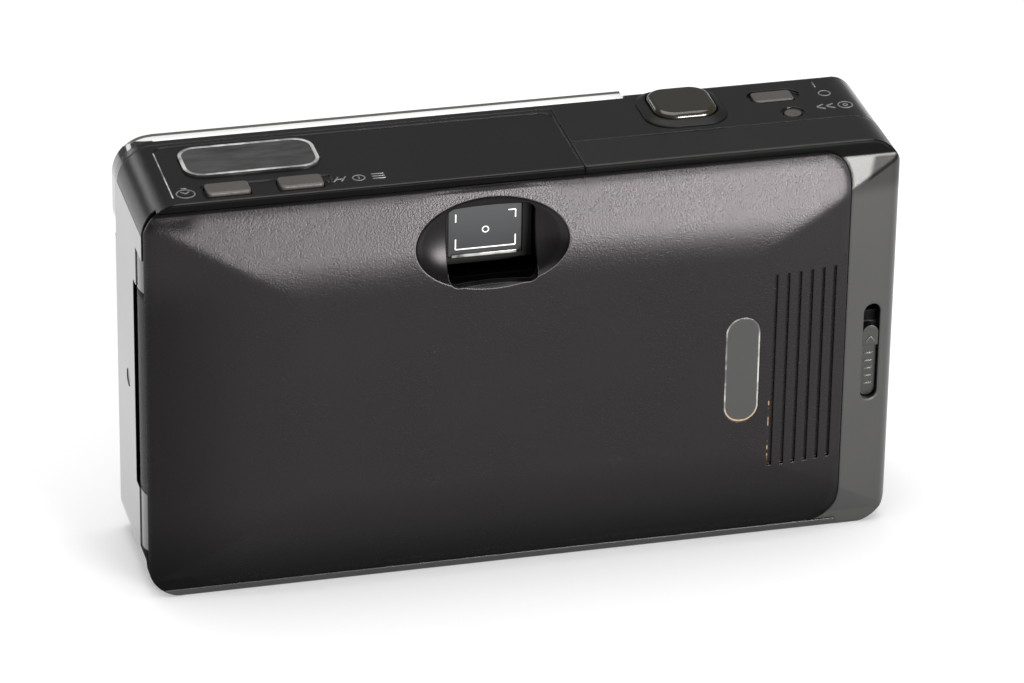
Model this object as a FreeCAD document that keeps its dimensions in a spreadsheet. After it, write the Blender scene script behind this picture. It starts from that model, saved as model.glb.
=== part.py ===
import FreeCAD, Part
import math
import os
import re
import Sketcher

# Compact 35 mm film camera with a motor wind, a built-in flash and a hinged back door.
# Frame: +X to the photographer's right, +Y the way the lens looks, +Z up, base on z 0,
# origin at the middle of the footprint. Depths below are measured forward from the door
# plane, the flat plane in which the door meets the body.

DOC = FreeCAD.newDocument("compact_film_camera")
SHEET = DOC.addObject("Spreadsheet::Sheet", "Sizes")

# Driving dimensions, millimetres and degrees
SIZES = [
    # Outer form
    ("BodyWidth", 124.0), ("BodyHeight", 70.0), ("BodyDepth", 25.6), ("CornerRadius", 6.1),
    ("FrontEdge", 1.2), ("Wall", 1.3), ("PillowRise", 3.3), ("RimBand", 2.65),
    ("TopSlopeRun", 10.7), ("SideSlopeRun", 18.4), ("TopSoftRadius", 27.0),
    ("SideSoftRadius", 79.0), ("GripEdge", 2.3), ("HingeEdge", 1.2), ("TopRearEdge", 0.4),
    ("SeamGap", 0.15),
    # How the covers divide
    ("GripWidth", 9.0), ("CoverSplit", 9.4), ("PanelEnd", 9.1), ("PanelDrop", 5.6),
    ("PanelFront", 22.1), ("RimSetback", 1.7), ("InsetLeft", 5.4), ("InsetMargin", 0.9),
    ("InsetDepth", 0.15), ("InsetCorner", 2.0),
    # Window panel on the front, and what looks out through it
    ("SlabRight", 21.9), ("SlabHeight", 16.0), ("SlabRear", 24.0), ("SlabRise", 1.0),
    ("SlabCorner", 3.5), ("SlabBevel", 1.8), ("SlabBrow", 0.5), ("WebThick", 0.9),
    ("WindowDrop", 9.3), ("FlashInset", 16.0),
    # Back door
    ("DoorWall", 1.3), ("DoorRim", 1.5), ("DoorRimLeft", 0.5), ("DoorCorner", 4.7),
    ("RimStart", 8.0), ("GrooveCount", 6), ("GroovePitch", 2.04), ("GrooveWidth", 0.75),
    ("GrooveDepth", 0.5), ("GrooveInset", 12.5), ("GrooveLow", 14.3), ("GrooveHigh", 49.1),
    ("PaneInset", 17.7), ("PaneZ", 32.5), ("PaneWidth", 5.8), ("PaneHeight", 18.95),
    ("PaneLip", 0.5), ("PaneDepth", 0.8),
    # Eyepiece dish and opening in the door
    ("EyeX", -6.3), ("EyeDrop", 10.9), ("EyeHalfWidth", 11.95), ("EyeHalfHeight", 7.5),
    ("DishDepth", 2.0), ("DishOffset", 1.0), ("DishTilt", 11.6), ("DishSeat", -1.77),
    ("EyeWide", 14.6), ("EyeTall", 12.4), ("EyeCorner", 1.6),
    # Hinge
    ("HingeInset", 2.8), ("HingeDepth", 6.6), ("BarrelRadius", 2.6), ("PinRadius", 0.75),
    ("PinPlay", 0.05), ("HingeLow", 6.3), ("HingeDrop", 10.0), ("KnuckleLow", 17.2),
    ("KnuckleDrop", 17.0), ("BarrelSweep", 6.9), ("HingePlay", 0.3), ("SwingRadius", 3.9),
    # Door latch
    ("LatchInset", 4.2), ("SlotLow", 23.4), ("SlotHigh", 40.8), ("SlotWidth", 3.0),
    ("LatchTravel", 4.0), ("LatchPlay", 0.15), ("TabHeight", 3.6), ("HookLow", 29.0),
    ("HookHeight", 5.0), ("SliderFace", 0.4), ("SliderTab", -0.4),
    # Top controls
    ("ReleaseInset", 32.1), ("ReleaseY", 17.9), ("ReleaseSize", 10.5), ("ReleaseCorner", 3.3),
    ("ReleaseRise", 1.6), ("ReleaseRim", 0.9), ("ReleaseTravel", 1.0), ("CollarSize", 13.9),
    ("CollarCorner", 4.5), ("CollarRise", 0.8), ("CollarFlare", 1.2), ("ButtonPlay", 0.2),
    ("PowerInset", 16.4), ("PowerY", 19.3), ("PowerWidth", 6.7), ("PowerLength", 3.6),
    ("PowerRecess", 0.35), ("RewindInset", 14.8), ("RewindY", 12.7), ("RewindRadius", 1.4),
    ("TimerInset", 14.3), ("ModeInset", 26.0), ("RowY", 4.0), ("RowWidth", 7.0),
    ("RowLength", 3.7), ("RowRise", 0.45), ("SmallTravel", 0.5), ("ChannelDepth", 0.35),
    ("ButtonCorner", 0.7), ("ButtonRim", 0.3), ("LcdInset", 19.8), ("LcdY", 14.5),
    ("LcdWidth", 22.0), ("LcdLength", 10.6), ("LcdCorner", 3.3), ("LcdRim", 0.8),
    ("LcdRise", 0.25),
    # Film path
    ("FloorLevel", 4.8), ("FloorWall", 0.8), ("ChamberDrop", 17.2), ("FilmPlane", 3.8),
    ("ChassisRear", 1.9), ("CassetteInset", 28.5), ("CassetteY", 11.0), ("CassetteBore", 12.5),
    ("SpoolInset", 20.5), ("SpoolY", 11.0), ("SpoolBore", 10.8), ("SpoolRadius", 6.9),
    ("GateWidth", 36.0), ("GateHeight", 24.0), ("GateWall", 1.8), ("GateDrop", 19.4),
    ("BoxDepth", 7.0), ("BoxWall", 1.5), ("PlateThick", 0.8), ("PlatePlay", 0.3),
    # Lens
    ("LensX", -1.0), ("LensZ", 29.3), ("LensRise", 6.0), ("RingWidth", 3.9),
    ("BarrelOuter", 13.5), ("BarrelWall", 0.6), ("BarrelPlay", 0.1),
    ("MountWall", 1.0), ("MountFlange", 1.6), ("OpenRadius", 6.2), ("BladeRadius", 6.6),
    ("BladeThick", 0.6), ("ShutterArm", 7.5), ("ShutterDisc", 4.2),
    ("ShutterOpen", 3.6), ("ShutterThick", 0.25),
    # Gear train on the base
    ("Module", 0.5), ("GearLow", 1.9), ("GearThick", 1.1), ("PinionTeeth", 8),
    ("WheelTeeth", 26), ("SmallTeeth", 10), ("SpoolTeeth", 24), ("TrainTeeth", 32),
    ("TrainReach", 0.64), ("MotorRadius", 5.2), ("MotorShaft", 0.75), ("SpoolWall", 1.2),
    # Sprocket
    ("SprocketOffset", 16.5), ("SprocketY", 8.9), ("SprocketRoot", 4.4), ("SprocketTip", 5.2),
    ("SprocketTeeth", 6),
    # Battery
    ("CellInset", 8.4), ("CellY", 16.4), ("CellRadius", 6.5), ("CellLow", 5.2),
    ("CellLength", 25.2), ("FlapWide", 13.7), ("FlapMargin", 1.7), ("FlapRear", 9.8),
    ("FlapFront", 23.3), ("FlapHigh", 4.2),
    # Tripod bush and strap bar
    ("BushInset", 11.0), ("BushY", 18.4), ("BushRadius", 4.6), ("BushHeight", 4.5),
    ("ThreadRadius", 2.6), ("StrapY", 16.0), ("StrapZ", 46.0), ("StrapHeight", 7.0),
    ("StrapWidth", 6.0), ("StrapDepth", 3.2), ("StrapBar", 0.8),
]
ALIASES = {name for name, _ in SIZES}

# Places worked out from the driving dimensions
DERIVED = {
    "HalfWidth": "BodyWidth / 2",
    "DoorPlane": "(PillowRise - BodyDepth - LensRise) / 2",
    "FrontInside": "BodyDepth - Wall",
    "RoofInside": "BodyHeight - Wall",
    "SeamX": "HalfWidth - GripWidth",
    "DoorTop": "BodyHeight - Wall - SeamGap",
    "DoorLow": "Wall + SeamGap",
    "GrooveStart": "SeamX - GrooveInset",
    "PaneX": "SeamX - PaneInset",
    "EyeZ": "BodyHeight - EyeDrop",
    "HingeX": "HingeInset - HalfWidth",
    "HingeHigh": "BodyHeight - HingeDrop",
    "KnuckleHigh": "BodyHeight - KnuckleDrop",
    "PanelLow": "BodyHeight - PanelDrop",
    "SlabLow": "BodyHeight - SlabHeight",
    "SlabFront": "BodyDepth + SlabRise",
    "WindowZ": "BodyHeight - WindowDrop",
    "FlashX": "FlashInset - HalfWidth",
    "RingFront": "BodyDepth + LensRise",
    "RingRadius": "BarrelOuter + BarrelPlay + RingWidth",
    "BarrelTip": "RingFront - 0.4",
    "LatchX": "HalfWidth - LatchInset",
    "SliderTop": "SlotHigh - LatchTravel - LatchPlay",
    "ReleaseX": "HalfWidth - ReleaseInset",
    "PowerX": "HalfWidth - PowerInset",
    "RewindX": "HalfWidth - RewindInset",
    "TimerX": "TimerInset - HalfWidth",
    "ModeX": "ModeInset - HalfWidth",
    "LcdX": "LcdInset - HalfWidth",
    "BoardLow": "BodyHeight - 12.3",
    "KeyTop": "BodyHeight - 8.5",
    "ShelfLow": "BodyHeight - 5.8",
    "ShelfKeyTop": "BodyHeight - 3.7",
    "ChamberTop": "BodyHeight - ChamberDrop",
    "GateTop": "BodyHeight - GateDrop",
    "GateX": "LensX",
    "CassetteX": "HalfWidth - CassetteInset",
    "SpoolX": "SpoolInset - HalfWidth",
    "SprocketX": "SpoolX + SprocketOffset",
    "CellX": "HalfWidth - CellInset",
    "CellTop": "CellLow + CellLength",
    "FlapRight": "HalfWidth - FlapMargin",
    "FlapLeft": "HalfWidth - FlapMargin - FlapWide",
    "BushX": "BushInset - HalfWidth",
    "GearPitch": "Module * (WheelTeeth + PinionTeeth) / 2",
    "TrainPitch": "(CassetteX - SpoolX) * TrainReach / 3",
    "UpperGear": "GearLow + GearThick + 0.2",
}
WORD = re.compile("[A-Za-z]+")
NODES = []


def fill_sheet():
    for row, (name, value) in enumerate(SIZES, start=1):
        SHEET.set("A%d" % row, name)
        SHEET.set("B%d" % row, str(value))
        SHEET.setAlias("B%d" % row, name)
    DOC.recompute()


def formula(text):
    """Turn a plain sum of named sizes into an expression on the sheet's cells."""
    def swap(match):
        word = match.group(0)
        if word in DERIVED:
            return "(" + formula(DERIVED[word]) + ")"
        return "Sizes." + word if word in ALIASES else word
    return WORD.sub(swap, str(text))


def size(name):
    return float(SHEET.get(name))


def bind(item, **sums):
    for prop, text in sums.items():
        item.setExpression(prop, formula(text))


def place(item, x, y, z):
    """Bind a place: x from the middle, y forward from the door plane, z from the base."""
    item.setExpression("Placement.Base.x", formula(x))
    item.setExpression("Placement.Base.y", formula("DoorPlane + (%s)" % y))
    item.setExpression("Placement.Base.z", formula(z))


def block(name, x, y, z):
    box = DOC.addObject("Part::Box", name)
    for prop, (low, high) in (("Length", x), ("Width", y), ("Height", z)):
        box.setExpression(prop, formula("(%s) - (%s)" % (high, low)))
    place(box, x[0], y[0], z[0])
    return box


TURNS = {
    "Z": FreeCAD.Rotation(),
    "Y": FreeCAD.Rotation(FreeCAD.Vector(1, 0, 0), -90),
    "X": FreeCAD.Rotation(FreeCAD.Vector(0, 1, 0), 90),
}


def rod(name, axis, centre, span, radius):
    """A cylinder along an axis: centre holds the other two places, in x, y, z order."""
    item = DOC.addObject("Part::Cylinder", name)
    bind(item, Radius=radius, Height="(%s) - (%s)" % (span[1], span[0]))
    item.Placement = FreeCAD.Placement(FreeCAD.Vector(), TURNS[axis])
    spot = list(centre)
    spot.insert("XYZ".index(axis), span[0])
    place(item, *spot)
    return item


def join(name, *parts):
    item = DOC.addObject("Part::MultiFuse", name)
    item.Shapes = list(parts)
    return item


def shared(name, *parts):
    item = DOC.addObject("Part::MultiCommon", name)
    item.Shapes = list(parts)
    return item


def cut(name, base, *tools):
    item = DOC.addObject("Part::Cut", name)
    item.Base = base
    item.Tool = tools[0] if len(tools) == 1 else join(name + "_tools", *tools)
    return item


def pill(name, axis, centre, half_gap, span, radius):
    """A slot shape that runs along Z, through the axis named."""
    x, y = centre[:2] if axis == "Z" else (centre[0], None)
    low = "(%s) - (%s)" % (centre[1], half_gap)
    high = "(%s) + (%s)" % (centre[1], half_gap)
    left = "(%s) - (%s)" % (x, radius)
    right = "(%s) + (%s)" % (x, radius)
    return join(name,
                rod(name + "_low", axis, (x, low), span, radius),
                rod(name + "_high", axis, (x, high), span, radius),
                block(name + "_mid", (left, right), span, (low, high)))


PLANES = {"Z": "XY_Plane", "Y": "XZ_Plane", "X": "YZ_Plane"}


def new_body(name, x="0", y="0", z="0"):
    body = DOC.addObject("PartDesign::Body", name)
    place(body, x, y, z)
    return body


def sketch_on(body, along, offset, name):
    sketch = body.newObject("Sketcher::SketchObject", name)
    plane = [item for item in body.Origin.OriginFeatures if item.Role == PLANES[along]][0]
    sketch.AttachmentSupport = [(plane, "")]
    sketch.MapMode = "FlatFace"
    sketch.setExpression("AttachmentOffset.Base.z", formula(offset))
    return sketch


def draw_polygon(sketch, points):
    """A closed outline whose corners are bound to the sheet."""
    count = len(points)
    for index in range(count):
        turn = [2 * math.pi * (index + step) / count for step in (0, 1)]
        ends = [FreeCAD.Vector(9 * math.cos(t), 9 * math.sin(t), 0) for t in turn]
        sketch.addGeometry(Part.LineSegment(*ends), False)
    for index in range(count):
        sketch.addConstraint(Sketcher.Constraint("Coincident", index, 2, (index + 1) % count, 1))
    for index, spot in enumerate(points):
        for kind, text in zip(("DistanceX", "DistanceY"), spot):
            number = sketch.addConstraint(Sketcher.Constraint(kind, index, 1, 1.0))
            sketch.setExpression("Constraints[%d]" % number, formula(text))


def draw_circle(sketch, radius):
    sketch.addGeometry(Part.Circle(FreeCAD.Vector(), FreeCAD.Vector(0, 0, 1), 1.0), False)
    sketch.addConstraint(Sketcher.Constraint("Coincident", 0, 3, -1, 1))
    number = sketch.addConstraint(Sketcher.Constraint("Radius", 0, 1.0))
    sketch.setExpression("Constraints[%d]" % number, formula(radius))


def pad(body, sketch, length, name, backward=False):
    feature = body.newObject("PartDesign::Pad", name)
    feature.Profile = sketch
    feature.Reversed = backward
    feature.setExpression("Length", formula(length))
    return feature


def edges_at(shape, along, spots):
    """Names of the straight edges along an axis that stand on the given corners."""
    axis = "XYZ".index(along)
    keep = [index for index in range(3) if index != axis]
    names = []
    for number, edge in enumerate(shape.Edges, start=1):
        ends = [vertex.Point for vertex in edge.Vertexes]
        if len(ends) != 2 or any(abs(ends[0][i] - ends[1][i]) > 1e-4 for i in keep):
            continue
        for spot in spots:
            if all(abs(ends[0][i] - value) < 1e-3 for i, value in zip(keep, spot)):
                names.append("Edge%d" % number)
    return names


def prism(name, along, points, span, rounds=(), shift="0"):
    """A padded outline. Rounds lists radii and the corners, by number, that they soften."""
    body = new_body(name, y=shift)
    offset = "-(%s)" % span[1] if along == "Y" else span[0]
    sketch = sketch_on(body, along, offset, name + "_outline")
    draw_polygon(sketch, points)
    last = pad(body, sketch, "(%s) - (%s)" % (span[1], span[0]), name + "_pad")
    DOC.recompute()
    corners = [line.StartPoint for line in sketch.Geometry]
    for step, (radius, picks) in enumerate(rounds):
        spots = [(corners[pick].x, corners[pick].y) for pick in picks]
        names = edges_at(last.Shape, along, spots)
        fillet = body.newObject("PartDesign::Fillet", "%s_round%d" % (name, step))
        fillet.Base = (last, names)
        fillet.setExpression("Radius", formula(radius))
        last = fillet
        DOC.recompute()
    return body


def rim_names(shape, height):
    """Names of the edges that lie in the plane at a height above a body's own origin."""
    names = []
    for number, edge in enumerate(shape.Edges, start=1):
        box = edge.BoundBox
        if abs(box.ZMin - height) < 1e-4 and abs(box.ZMax - height) < 1e-4:
            names.append("Edge%d" % number)
    return names


def soft_top(body, radius):
    """Round the upper rim of a slab that stands on a Z axis."""
    last = body.Tip
    names = rim_names(last.Shape, last.Shape.BoundBox.ZMax)
    fillet = body.newObject("PartDesign::Fillet", body.Name + "_rim")
    fillet.Base = (last, names)
    fillet.setExpression("Radius", formula(radius))
    DOC.recompute()
    return body


def flared(body, run, drop):
    """Slope the upper rim of a slab that stands on a Z axis: run inwards, drop downwards."""
    last = body.Tip
    names = rim_names(last.Shape, last.Shape.BoundBox.ZMax)
    slope = body.newObject("PartDesign::Chamfer", body.Name + "_slope")
    slope.Base = (last, names)
    slope.ChamferType = 1
    slope.setExpression("Size", formula(drop))
    slope.setExpression("Size2", formula(run))
    DOC.recompute()
    return body


def rounded(name, along, first, second, span, radius):
    """A slab with rounded corners: first and second are its extents across the axis."""
    points = [(first[0], second[0]), (first[1], second[0]),
              (first[1], second[1]), (first[0], second[1])]
    return prism(name, along, points, span, [(radius, range(4))])


def turned(name, along, points, x, y, z):
    """A solid of revolution about an axis along Y or Z: points give radius and place."""
    body = new_body(name, x, y, z)
    sketch = sketch_on(body, {"Y": "Z", "Z": "Y"}[along], "0", name + "_half")
    draw_polygon(sketch, points)
    spin = body.newObject("PartDesign::Revolution", name + "_turn")
    spin.Profile = sketch
    spin.ReferenceAxis = (sketch, ["V_Axis"])
    spin.Angle = 360
    DOC.recompute()
    return body


def gear_wheel(name, teeth, spot, span, bore, phase=0.0, module="Module"):
    """A spur gear on a Z axis with straight-flanked teeth and some backlash."""
    body = new_body(name, spot[0], spot[1], span[0])
    body.Placement = FreeCAD.Placement(body.Placement.Base,
                                       FreeCAD.Rotation(FreeCAD.Vector(0, 0, 1), phase))
    thick = "(%s) - (%s)" % (span[1], span[0])
    disc = sketch_on(body, "Z", "0", name + "_root")
    draw_circle(disc, "%s * (%s / 2 - 1.2)" % (module, teeth))
    pad(body, disc, thick, name + "_disc")
    tooth = sketch_on(body, "Z", "0", name + "_tooth")
    root = "%s * (%s / 2 - 1.4)" % (module, teeth)
    tip = "%s * (%s / 2 + 0.9)" % (module, teeth)
    wide, narrow = "%s * 1.05" % module, "%s * 0.33" % module
    draw_polygon(tooth, [(root, "-" + wide), (tip, "-" + narrow), (tip, narrow), (root, wide)])
    first = pad(body, tooth, thick, name + "_first")
    ring = body.newObject("PartDesign::PolarPattern", name + "_ring")
    ring.Originals = [first]
    axis = [item for item in body.Origin.OriginFeatures if item.Role == "Z_Axis"][0]
    ring.Axis = (axis, [""])
    ring.Angle = 360
    ring.setExpression("Occurrences", formula(teeth))
    body.Tip = ring
    DOC.recompute()
    return cut(name + "_bored", body, rod(name + "_bore", "Z", spot, span, bore))


def node(label, item):
    """Name a finished sub-part after the file that it becomes."""
    item.Label = label
    NODES.append(item)
    return item


# Outer form

def pillow(name, shift):
    """The back's cushion: flat in the middle, sloping to the rim on all four sides."""
    side = prism(name + "_side", "X", [
        ("BodyDepth", "0"), ("BodyDepth", "BodyHeight"), ("0", "BodyHeight"),
        ("0", "BodyHeight - RimBand"),
        ("-PillowRise", "BodyHeight - RimBand - TopSlopeRun"),
        ("-PillowRise", "RimBand + TopSlopeRun"), ("0", "RimBand"), ("0", "0")],
        ("-HalfWidth", "HalfWidth"),
        [("TopSoftRadius", (4, 5)), ("TopRearEdge", (2, 7)), ("FrontEdge", (0, 1))], shift)
    plan = prism(name + "_plan", "Z", [
        ("-HalfWidth", "BodyDepth"), ("-HalfWidth", "0"),
        ("SideSlopeRun - HalfWidth", "-PillowRise"),
        ("HalfWidth - SideSlopeRun", "-PillowRise"),
        ("HalfWidth", "0"), ("HalfWidth", "BodyDepth")],
        ("0", "BodyHeight"),
        [("SideSoftRadius", (2, 3)), ("HingeEdge", (1,)), ("GripEdge", (4,)),
         ("FrontEdge", (0, 5))], shift)
    return shared(name, side, plan)


def outline(name, inset, span):
    radius = "CornerRadius - (%s)" % inset
    wide = ("(%s) - HalfWidth" % inset, "HalfWidth - (%s)" % inset)
    tall = (inset, "BodyHeight - (%s)" % inset)
    return rounded(name, "Y", wide, tall, span, radius)


def outer_forms():
    forms = {}
    forms["pillow"] = pillow("pillow", "0")
    forms["door_inside"] = pillow("door_inside", "DoorWall")
    forms["groove_floor"] = pillow("groove_floor", "GrooveDepth")
    forms["grip_inside"] = pillow("grip_inside", "Wall")
    forms["full"] = shared("full_form", forms["pillow"],
                           outline("full_outline", "0", ("-PillowRise", "BodyDepth")))
    forms["cavity"] = outline("cavity", "Wall", ("-PillowRise - 1", "FrontInside"))
    forms["door_zone"] = door_zone("door_zone", "0", "DoorRim")
    return forms


def door_zone(name, grow, front):
    """The space of the back door, with its two rounded corners at the grip."""
    low, high, right = "DoorLow - (%s)" % grow, "DoorTop + " + grow, "SeamX + " + grow
    return prism(name, "Y", [("-HalfWidth", low), (right, low), (right, high), ("-HalfWidth", high)],
                 ("-PillowRise", front), [("DoorCorner + " + grow, (1, 2))])


# Covers

def hinge_web(name, low, high, reach):
    """A hinge knuckle: the barrel round the pin and the curved cheek behind it."""
    sweep = rod(name + "_sweep", "Z", ("HingeX + BarrelSweep - BarrelRadius", "HingeDepth"),
                (low, high), "BarrelSweep")
    cheek = shared(name + "_cheek", sweep,
                   block(name + "_side", ("-HalfWidth", "HingeX + BarrelSweep - BarrelRadius"),
                         (reach, "HingeDepth"), (low, high)))
    barrel = rod(name + "_barrel", "Z", ("HingeX", "HingeDepth"), (low, high), "BarrelRadius")
    return join(name, cheek, barrel)


def front_cover(forms):
    body_only = shared("body_form", forms["full"],
                       block("ahead_of_door", ("-HalfWidth", "HalfWidth"), ("0", "BodyDepth"),
                             ("0", "BodyHeight")))
    far = "HalfWidth + 1"
    tools = [
        forms["cavity"],
        block("panel_room", ("-HalfWidth - 1", "PanelEnd + SeamGap"),
              ("-1", "PanelFront + SeamGap"), ("PanelLow - SeamGap", "BodyHeight + 1")),
        block("strip_room", ("PanelEnd", far), ("-1", "CoverSplit"),
              ("BodyHeight - 2 * Wall", "BodyHeight + 1")),
        block("grip_room", ("SeamX + SeamGap", far), ("-1", "CoverSplit"), ("-1", "BodyHeight + 1")),
        block("left_rim", ("-HalfWidth - 1", "RimStart - HalfWidth"), ("-1", "RimSetback"),
              ("Wall", "BodyHeight - Wall")),
        block("left_rim_low", ("-HalfWidth - 1", "1 - HalfWidth"), ("-1", "RimSetback"),
              ("0", "CornerRadius")),
        block("hinge_room", ("-HalfWidth - 1", "HingeX + BarrelSweep - BarrelRadius + HingePlay"),
              ("-1", "HingeDepth + HingePlay"), ("HingeLow", "HingeHigh")),
        rod("barrel_room", "Z", ("HingeX", "HingeDepth"),
            ("KnuckleLow - HingePlay", "KnuckleHigh + HingePlay"), "SwingRadius"),
        block("slab_room", ("-HalfWidth - 1", "SlabRight + SeamGap"), ("SlabRear", "BodyDepth + 1"),
              ("SlabLow - SeamGap", "BodyHeight + 1")),
        rod("lens_room", "Y", ("LensX", "LensZ"), ("FrontInside - 1", "BodyDepth + 1"),
            "BarrelOuter + BarrelPlay + MountWall + 0.1"),
        rounded("release_room", "Z",
                ("ReleaseX - CollarSize / 2 + 0.8", "ReleaseX + CollarSize / 2 - 0.8"),
                ("ReleaseY - CollarSize / 2 + 0.8", "ReleaseY + CollarSize / 2 - 0.8"),
                ("RoofInside - 1", "BodyHeight + 1"), "CollarCorner - 0.8"),
        rounded("power_dish", "Z", ("PowerX - PowerWidth / 2 - 0.9", "PowerX + PowerWidth / 2 + 1.3"),
                ("PowerY - PowerLength / 2 - 0.5", "PowerY + PowerLength / 2 + 0.5"),
                ("BodyHeight - PowerRecess", "BodyHeight + 1"), "PowerLength / 2 + 0.45"),
        rounded("power_hole", "Z",
                ("PowerX - PowerWidth / 2 - ButtonPlay", "PowerX + PowerWidth / 2 + ButtonPlay"),
                ("PowerY - PowerLength / 2 - ButtonPlay", "PowerY + PowerLength / 2 + ButtonPlay"),
                ("RoofInside - 1", "BodyHeight + 1"), "ButtonCorner"),
        rod("rewind_dish", "Z", ("RewindX", "RewindY"), ("BodyHeight - 0.3", "BodyHeight + 1"),
            "RewindRadius + 0.6"),
        rod("rewind_hole", "Z", ("RewindX", "RewindY"), ("RoofInside - 1", "BodyHeight + 1"),
            "RewindRadius + ButtonPlay"),
        rod("bush_hole", "Z", ("BushX", "BushY"), ("-1", "Wall + 1"), "BushRadius + 0.05"),
        block("flap_room", ("FlapLeft - 0.1", "FlapRight + 0.2"), ("FlapRear - 0.2", "FlapFront + 0.2"),
              ("-1", "FlapHigh + 0.2")),
        block("strap_pocket", ("HalfWidth - StrapDepth", far),
              ("StrapY - StrapWidth / 2", "StrapY + StrapWidth / 2"),
              ("StrapZ - StrapHeight / 2", "StrapZ + StrapHeight / 2")),
    ] + [rod("screw_sink_%d" % index, "Z", spot, ("-1", "0.9"), "1.6")
         for index, spot in enumerate(BASE_SCREWS)]
    tools += [rod("screw_hole_%d" % index, "Z", spot, ("-1", "Wall + 1"), "0.85")
              for index, spot in enumerate(BASE_SCREWS)]
    tools.append(rod("lamp_seat", "Y", TIMER_LAMP, ("BodyDepth - 0.8", "BodyDepth + 1"), "1.55"))
    tools += [rod("side_sink", "X", SIDE_SCREW, ("-HalfWidth - 1", "0.75 - HalfWidth"), "1.5"),
              rod("side_hole", "X", SIDE_SCREW, ("-HalfWidth - 1", "Wall + 0.5 - HalfWidth"), "0.8")]
    shell = cut("front_shell", body_only, *tools)
    backing = cut("slab_backing",
                  block("backing_web", ("Wall - HalfWidth", "SlabRight + 1.5"),
                        ("SlabRear - WebThick", "SlabRear"), ("SlabLow - 1.2", "RoofInside")),
                  *front_windows("backing", "SlabRear - 2", "BodyDepth", "0.4"))
    web = shared("slab_web", backing, forms["cavity"])
    knuckles = []
    for name, low, high in (("lower_knuckle", "HingeLow - 0.2", "KnuckleLow - 0.15"),
                            ("upper_knuckle", "KnuckleHigh + 0.15", "HingeHigh + 0.2")):
        near = rod(name + "_reach", "Z", ("HingeX", "HingeDepth"), (low, high), "5.2")
        knuckles.append(shared(name, hinge_web(name + "_web", low, high, "RimSetback"), near))
    guard = cut("hinge_guard",
                shared("guard_form",
                       rod("guard_outside", "Z", ("HingeX", "HingeDepth"), ("KnuckleLow - 1", "KnuckleHigh + 1"),
                           "SwingRadius + 0.8"),
                       block("guard_zone", ("Wall / 2 - HalfWidth", "HingeX + SwingRadius + 1"),
                             ("HingeDepth + HingePlay", "HingeDepth + SwingRadius + 1"),
                             ("KnuckleLow - 1", "KnuckleHigh + 1"))),
                rod("guard_inside", "Z", ("HingeX", "HingeDepth"), ("KnuckleLow - 2", "KnuckleHigh + 2"),
                    "SwingRadius"))
    shelf = block("cell_shelf", ("CellX - 6.4", "HalfWidth - Wall / 2"), ("CoverSplit + 1", "BodyDepth - Wall / 2"),
                  ("CellTop + 1.1", "CellTop + 2.3"))
    whole = join("front_whole", shell, web, shelf, guard, strap_pocket_wall(), *knuckles)
    pin_hole = rod("front_pin_hole", "Z", ("HingeX", "HingeDepth"), ("HingeLow - 0.3", "HingeHigh - 0.2"),
                   "PinRadius + PinPlay")
    node("front_cover", cut("front_cover", whole, pin_hole))


BASE_SCREWS = [("SpoolX + 3.5", "20.6"), ("19", "21.5"), ("HalfWidth - 19", "21.5")]
TIMER_LAMP = ("24.5", "BodyHeight - 24")
SIDE_SCREW = ("15", "32.8")


def strap_pocket_wall():
    """The closed pocket behind the strap bar, in the right side wall."""
    outside = block("strap_box", ("HalfWidth - StrapDepth - 0.8", "HalfWidth - Wall / 2"),
                    ("StrapY - StrapWidth / 2 - 0.8", "StrapY + StrapWidth / 2 + 0.8"),
                    ("StrapZ - StrapHeight / 2 - 0.8", "StrapZ + StrapHeight / 2 + 0.8"))
    inside = block("strap_inside", ("HalfWidth - StrapDepth", "HalfWidth + 1"),
                   ("StrapY - StrapWidth / 2", "StrapY + StrapWidth / 2"),
                   ("StrapZ - StrapHeight / 2", "StrapZ + StrapHeight / 2"))
    return cut("strap_wall", outside, inside)


def front_windows(name, start, end, grow):
    """Cutters for what looks out through the window panel: x, z, half sizes."""
    return [rounded("%s_%d" % (name, index), "Y",
                    ("%s - %s - (%s)" % (x, half, grow), "%s + %s + (%s)" % (x, half, grow)),
                    ("%s - %s - (%s)" % (z, tall, grow), "%s + %s + (%s)" % (z, tall, grow)),
                    (start, end), "1")
            for index, (x, z, half, tall) in enumerate(WINDOWS)]


# Flash, viewfinder, two autofocus windows, light sensor: x, z, half width, half height
WINDOWS = [("FlashX", "WindowZ", "9", "4"), ("EyeX", "WindowZ", "6", "4.2"), ("-24", "WindowZ", "3.4", "3.2"),
           ("7.5", "WindowZ", "3.4", "3.2"), ("16", "WindowZ", "1.9", "1.9")]


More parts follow.
